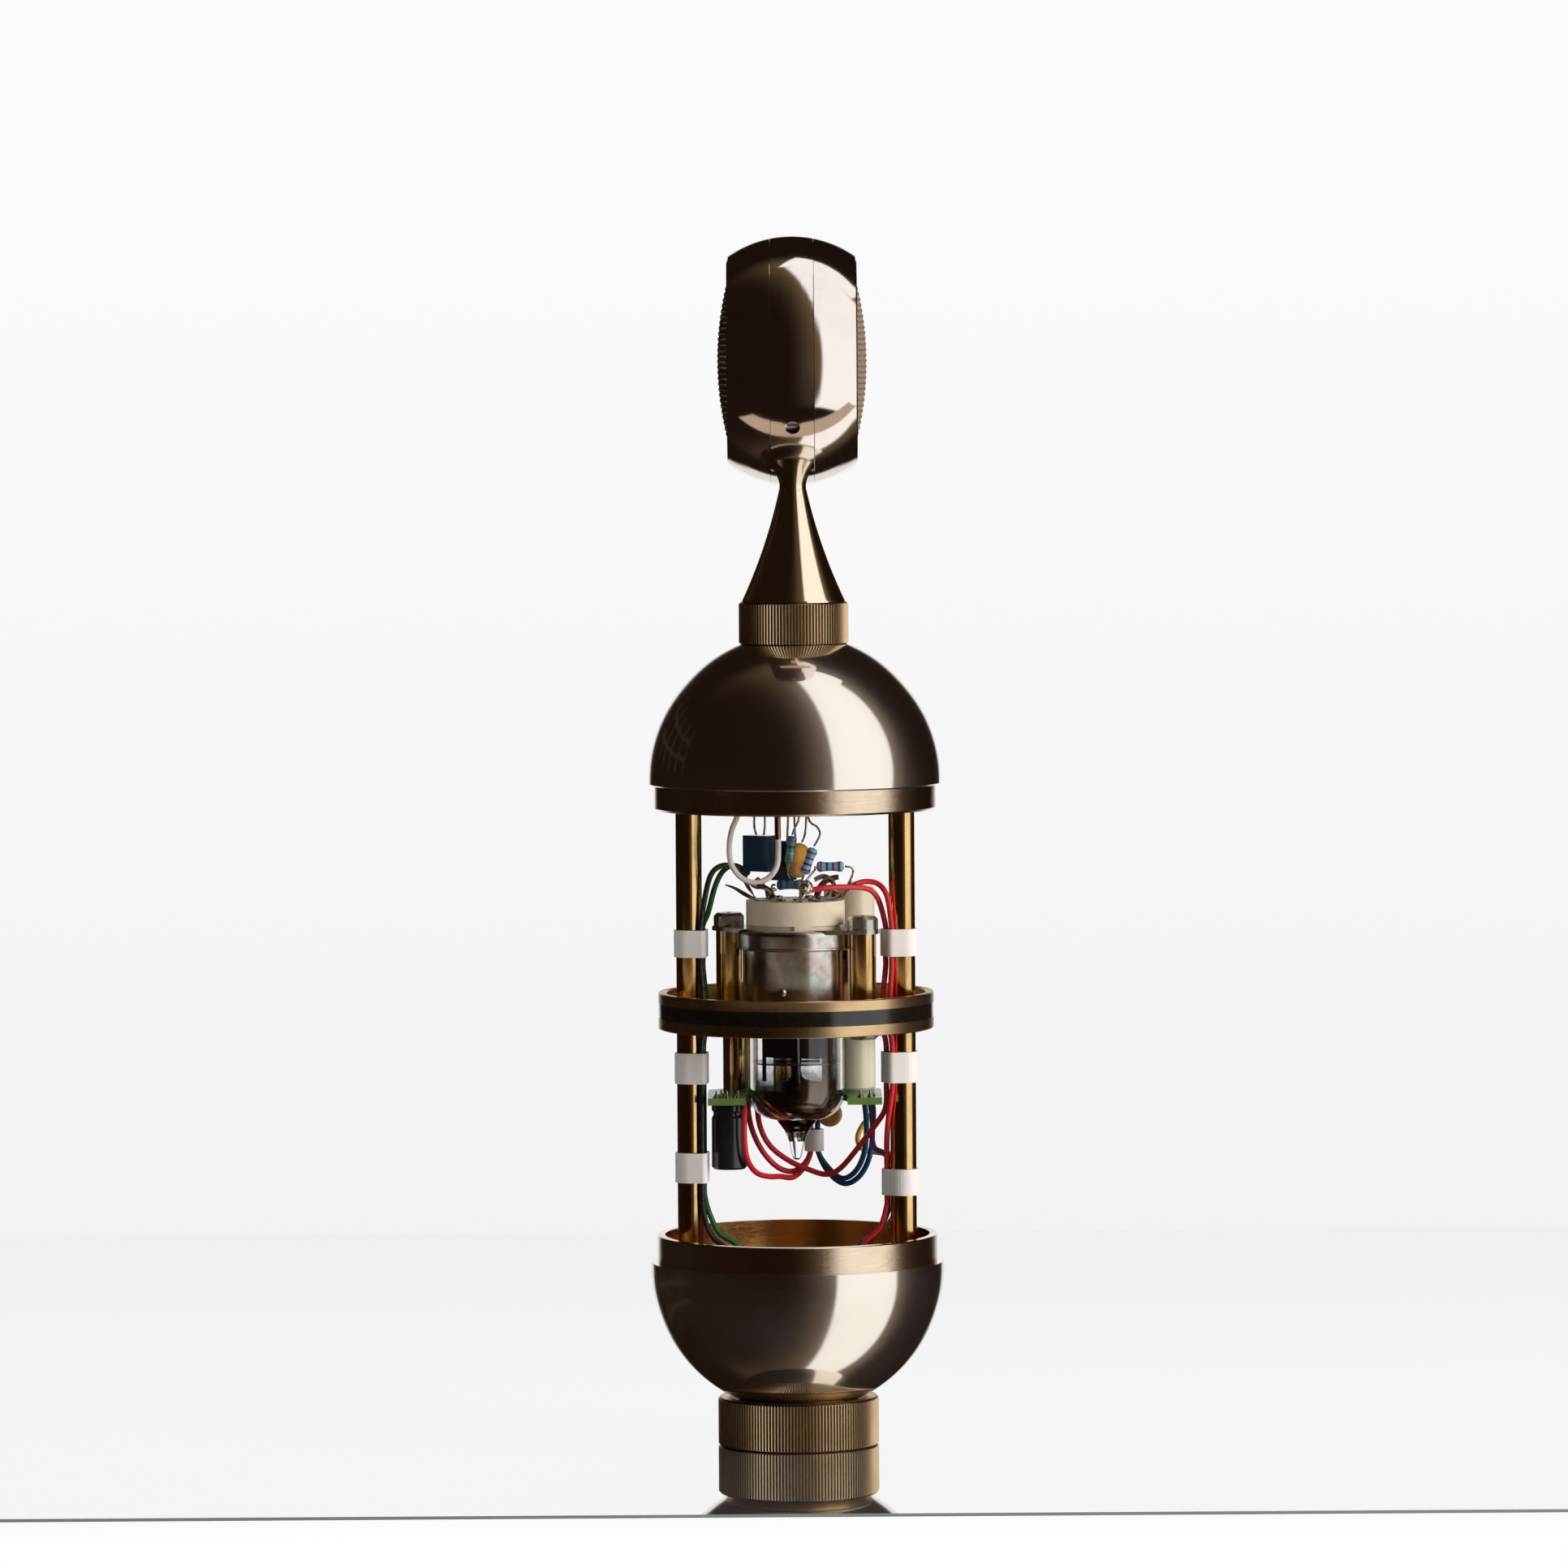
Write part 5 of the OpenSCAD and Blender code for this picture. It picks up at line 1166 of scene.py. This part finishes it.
@dataclass
class Surroundings:
    """What the mirrors, the glass and the camera see round the microphone."""

    gloom: Color = (0.012, 0.0060, 0.0042)
    glow: Color = (0.060, 0.040, 0.028)
    bars: Color = (0.030, 0.022, 0.015)
    tail: Color = (0.145, 0.095, 0.054)
    wall: Color = (1.02, 1.01, 1.02)
    horizon: Color = (0.89, 0.88, 0.89)
    below: Color = (1.0, 1.0, 1.0)
    room: Color = (0.30, 0.29, 0.28)
    panes_across: float = 5.7
    panes_up: float = 6.5

    def panes(self, tree: Tree, bearing: Socket, height: Socket) -> Socket:
        """How much a direction looks at the frame of the dim window on the left.

        Args:
            tree: the world's tree.
            bearing: the direction's bearing in radians.
            height: how far it goes up.

        Returns:
            A value from 0 to 1.
        """
        column = tree.maths("FRACT", tree.times(bearing, self.panes_across))
        row = tree.maths("FRACT", tree.times(height, self.panes_up))
        column, row = tree.spread(column, 0.14, 0.24, 1, 0), tree.spread(row, 0.16, 0.28, 1, 0)
        wide = tree.window(bearing, -145, -99, 2)
        tall = tree.times(tree.spread(height, 0.03, 0.06), tree.spread(height, 0.42, 0.46, 1, 0))
        return tree.times(tree.maths("MAXIMUM", column, row), tree.times(wide, tall))

    def mirrored(self, tree: Tree, x: Socket, y: Socket, z: Socket) -> Socket:
        """The colour that mirrors see in a direction.

        Args:
            tree: the world's tree.
            x: how far the direction goes to the right.
            y: how far it goes to the back.
            z: how far it goes up.

        Returns:
            The colour, from the gloom at the front left to the bright cloth at the right and the wall behind.
        """
        bearing = tree.maths("ARCTAN2", x, tree.times(y, -1.0))
        left = tree.plus(tree.times(x, 0.857), tree.times(y, 0.515))
        right = tree.plus(y, tree.maths("SUBTRACT", tree.times(x, 0.108), tree.times(z, 0.133)))
        cloth = tree.times(tree.spread(left, -0.03, 0.03, smooth=True),
                           tree.spread(right, -0.035, 0.035, 1, 0, smooth=True))
        cloth = tree.times(cloth, tree.spread(z, -0.665, -0.645))
        behind = tree.times(tree.window(tree.maths("ABSOLUTE", bearing), 161, 400, 4),
                            tree.spread(z, 0.17, 0.30, 1, 0, smooth=True))
        glow = tree.times(tree.window(bearing, 14, 100, 20), tree.spread(z, -0.7, -0.6))
        tail = tree.maths("POWER", tree.spread(left, -0.62, 0.0), 2.6)
        tail = tree.times(tail, tree.spread(right, -0.035, 0.3, 1, 0, smooth=True))
        tail = tree.times(tail, tree.spread(z, -0.5, -0.1))
        seen: object = self.gloom
        for cover, color in ((glow, self.glow), (self.panes(tree, bearing, z), self.bars), (tail, self.tail),
                             (cloth, LIGHT), (behind, self.wall)):
            seen = tree.blend(cover, seen, color)
        return seen

    def build(self) -> None:
        """Paints the world, with other colours for mirrors, for the camera and for everything else."""
        world = bpy.data.worlds.new("studio")
        bpy.context.scene.world = world
        world.cycles.sampling_method = "NONE"
        tree = Tree(world)
        x, y, z = tree.split(tree.add("TexCoord").outputs["Generated"])
        seen = self.mirrored(tree, x, y, z)
        pale = tree.blend(tree.spread(z, -0.12, 0.02), self.horizon, BACKDROP)
        pale = tree.blend(tree.spread(z, -0.139, -0.133), self.below, pale)
        path = tree.add("LightPath")
        glass = path.outputs["Is Transmission Ray"]
        plain = tree.blend(tree.maths("MAXIMUM", path.outputs["Is Glossy Ray"], glass), self.room, seen)
        through = tree.maths("MAXIMUM", path.outputs["Is Camera Ray"],
                             tree.times(glass, tree.spread(y, 0.1, 0.4)))
        tree.set(Color=tree.blend(through, plain, pale), Strength=1.0)


@dataclass
class Table:
    """Pale glass table top, which mirrors the foot and fades into the backdrop."""

    width: float = 2.6
    front: float = -0.117
    back: float = 0.46
    thick: float = 0.7 * MM
    edge: Color = (0.30, 0.38, 0.34)
    tones: tuple[Color, Color] = ((0.80, 0.80, 0.80), (0.84, 0.84, 0.84))
    mirror_tones: tuple[Color, Color] = ((0.90, 0.92, 0.91), (1.0, 1.0, 0.98))
    glow_share: float = 0.90

    def build(self) -> Thing:
        """Adds the table top with its bevelled edge.

        Returns:
            The table top.
        """
        deselect()
        depth = self.back - self.front
        bpy.ops.mesh.primitive_cube_add(size=1, location=(0, self.front + depth / 2, -self.thick / 2))
        table = bpy.context.object
        table.name = "table_top"
        table.scale = (self.width, depth, self.thick)
        bpy.ops.object.transform_apply(location=True, rotation=True, scale=True)
        bevel = table.modifiers.new("edge", "BEVEL")
        bevel.width = self.thick / 6
        bevel.segments = 3
        bpy.ops.object.modifier_apply(modifier=bevel.name)
        table.data.materials.append(self.finish())
        return table

    def finish(self) -> bpy.types.Material:
        """Pale paint under a mirror that fades at steep views, with the backdrop's glow far back and a strip
        that glows for mirrors alone.

        Returns:
            The new material.
        """
        made = bpy.data.materials.new("pale_table")
        tree = Tree(made)
        place = tree.object_space()
        across, along, _ = tree.split(place)
        tone = tree.blend(tree.spread(tree.noise(place, 9, 3), 0.3, 0.7), *self.tones)
        front = tree.spread(along, self.front, self.front + 0.4 * MM, 1, 0)
        tree.set(Base_Color=tree.blend(front, tone, self.edge), Roughness=0.05)
        path = tree.add("LightPath")
        glossy, direct = path.outputs["Is Glossy Ray"], path.outputs["Is Camera Ray"]
        mirror = tree.add("BsdfGlossy", {"Color": tree.blend(glossy, *self.mirror_tones), "Roughness": 0.015})
        grazing = tree.spread(tree.add("LayerWeight").outputs["Facing"], 0.70, 0.86, 0, 0.92)
        flat = tree.times(tree.maths("SUBTRACT", 1.0, front), grazing)
        glass = tree.mix(tree.maths("MAXIMUM", glossy, flat), tree.shader, mirror)
        # a strip behind the microphone glows with the backdrop's colour, seen by mirrors alone
        fan = tree.maths("SUBTRACT", tree.times(along, 0.5), tree.maths("ABSOLUTE", across))
        mirror_glow_strip = tree.times(tree.spread(along, 0.205, 0.225), tree.spread(fan, -0.02, 0.02))
        far = tree.times(tree.spread(along, 0.05, self.back, smooth=True), direct)
        faded = tree.mix(tree.maths("MAXIMUM", far, tree.times(mirror_glow_strip, glossy)), glass,
                         tree.emission(shade(BACKDROP, self.glow_share)))
        tree.surface(faded)
        return made


@dataclass
class Studio:
    """Table, glowing cards, lamps and world of the picture."""

    cards: tuple[Card, ...] = (
        Card("high_card", (-0.0125, 0.088, -0.0105, 0.006), 0.33, LIGHT, (1, -1, 0.002)),
        Card("edge_card", (0.0, 0.088, -0.018, -0.0105), 0.33, LIGHT, (1, 1, 0.0105)),
        Card("low_card", (-0.16, 0.225, -0.106, -0.060), 0.1, (0.52, 0.40, 0.30), (0.79, 0.61, 0.161), True),
    )
    lamps: tuple[Lamp, ...] = (Lamp("key_lamp", (1.15, -0.55, 0.35), 0.9, 18.0),
                               Lamp("back_lamp", (0.35, 1.3, 0.5), 1.0, 9.0))
    parts: list[Thing] = field(default_factory=list)

    def build(self) -> None:
        """Sets the world, the cards, the lamps and the table."""
        Surroundings().build()
        for card in self.cards:
            self.parts.append(card.build())
        for lamp in self.lamps:
            lamp.build()
        self.parts.append(Table().build())


@dataclass
class Camera:
    """Level long lens at the photograph's height, with its view shifted down and its roll in degrees."""

    lens: float = 199.42
    sensor: float = 36.0
    place: Point = (-0.00173, -1.987, 0.258)
    roll: float = -0.371
    shift: float = -0.2986
    reach: tuple[float, float] = (0.05, 50.0)

    def build(self) -> None:
        """Adds the camera and makes it the scene's."""
        deselect()
        bpy.ops.object.camera_add(location=self.place)
        camera = bpy.context.object
        camera.name = "photo_camera"
        camera.data.lens = self.lens
        camera.data.sensor_width = self.sensor
        camera.data.shift_y = self.shift
        camera.data.clip_start, camera.data.clip_end = self.reach
        look = Matrix.Rotation(math.radians(90), 4, "X")
        camera.matrix_world = (Matrix.Translation(self.place) @ look
                               @ Matrix.Rotation(math.radians(self.roll), 4, "Z"))
        bpy.context.scene.camera = camera


def main() -> None:
    """Builds the dressed microphone in order."""
    logging.basicConfig(level=logging.INFO, format="%(name)s: %(message)s")
    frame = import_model()
    deselect()
    dress_frame(frame["nodes"])
    bodies = [resistor.build() for resistor in resistors()]
    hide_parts("resistors")
    for side in (1, -1):
        WovenGrille(side).build()
    GetterMirror().build()
    TubeInsides().build()
    SocketMetal().build()
    Studio().build()
    Camera().build()
    settings = bpy.context.scene.view_settings
    settings.view_transform = "Standard"


if __name__ == "__main__":
    main()
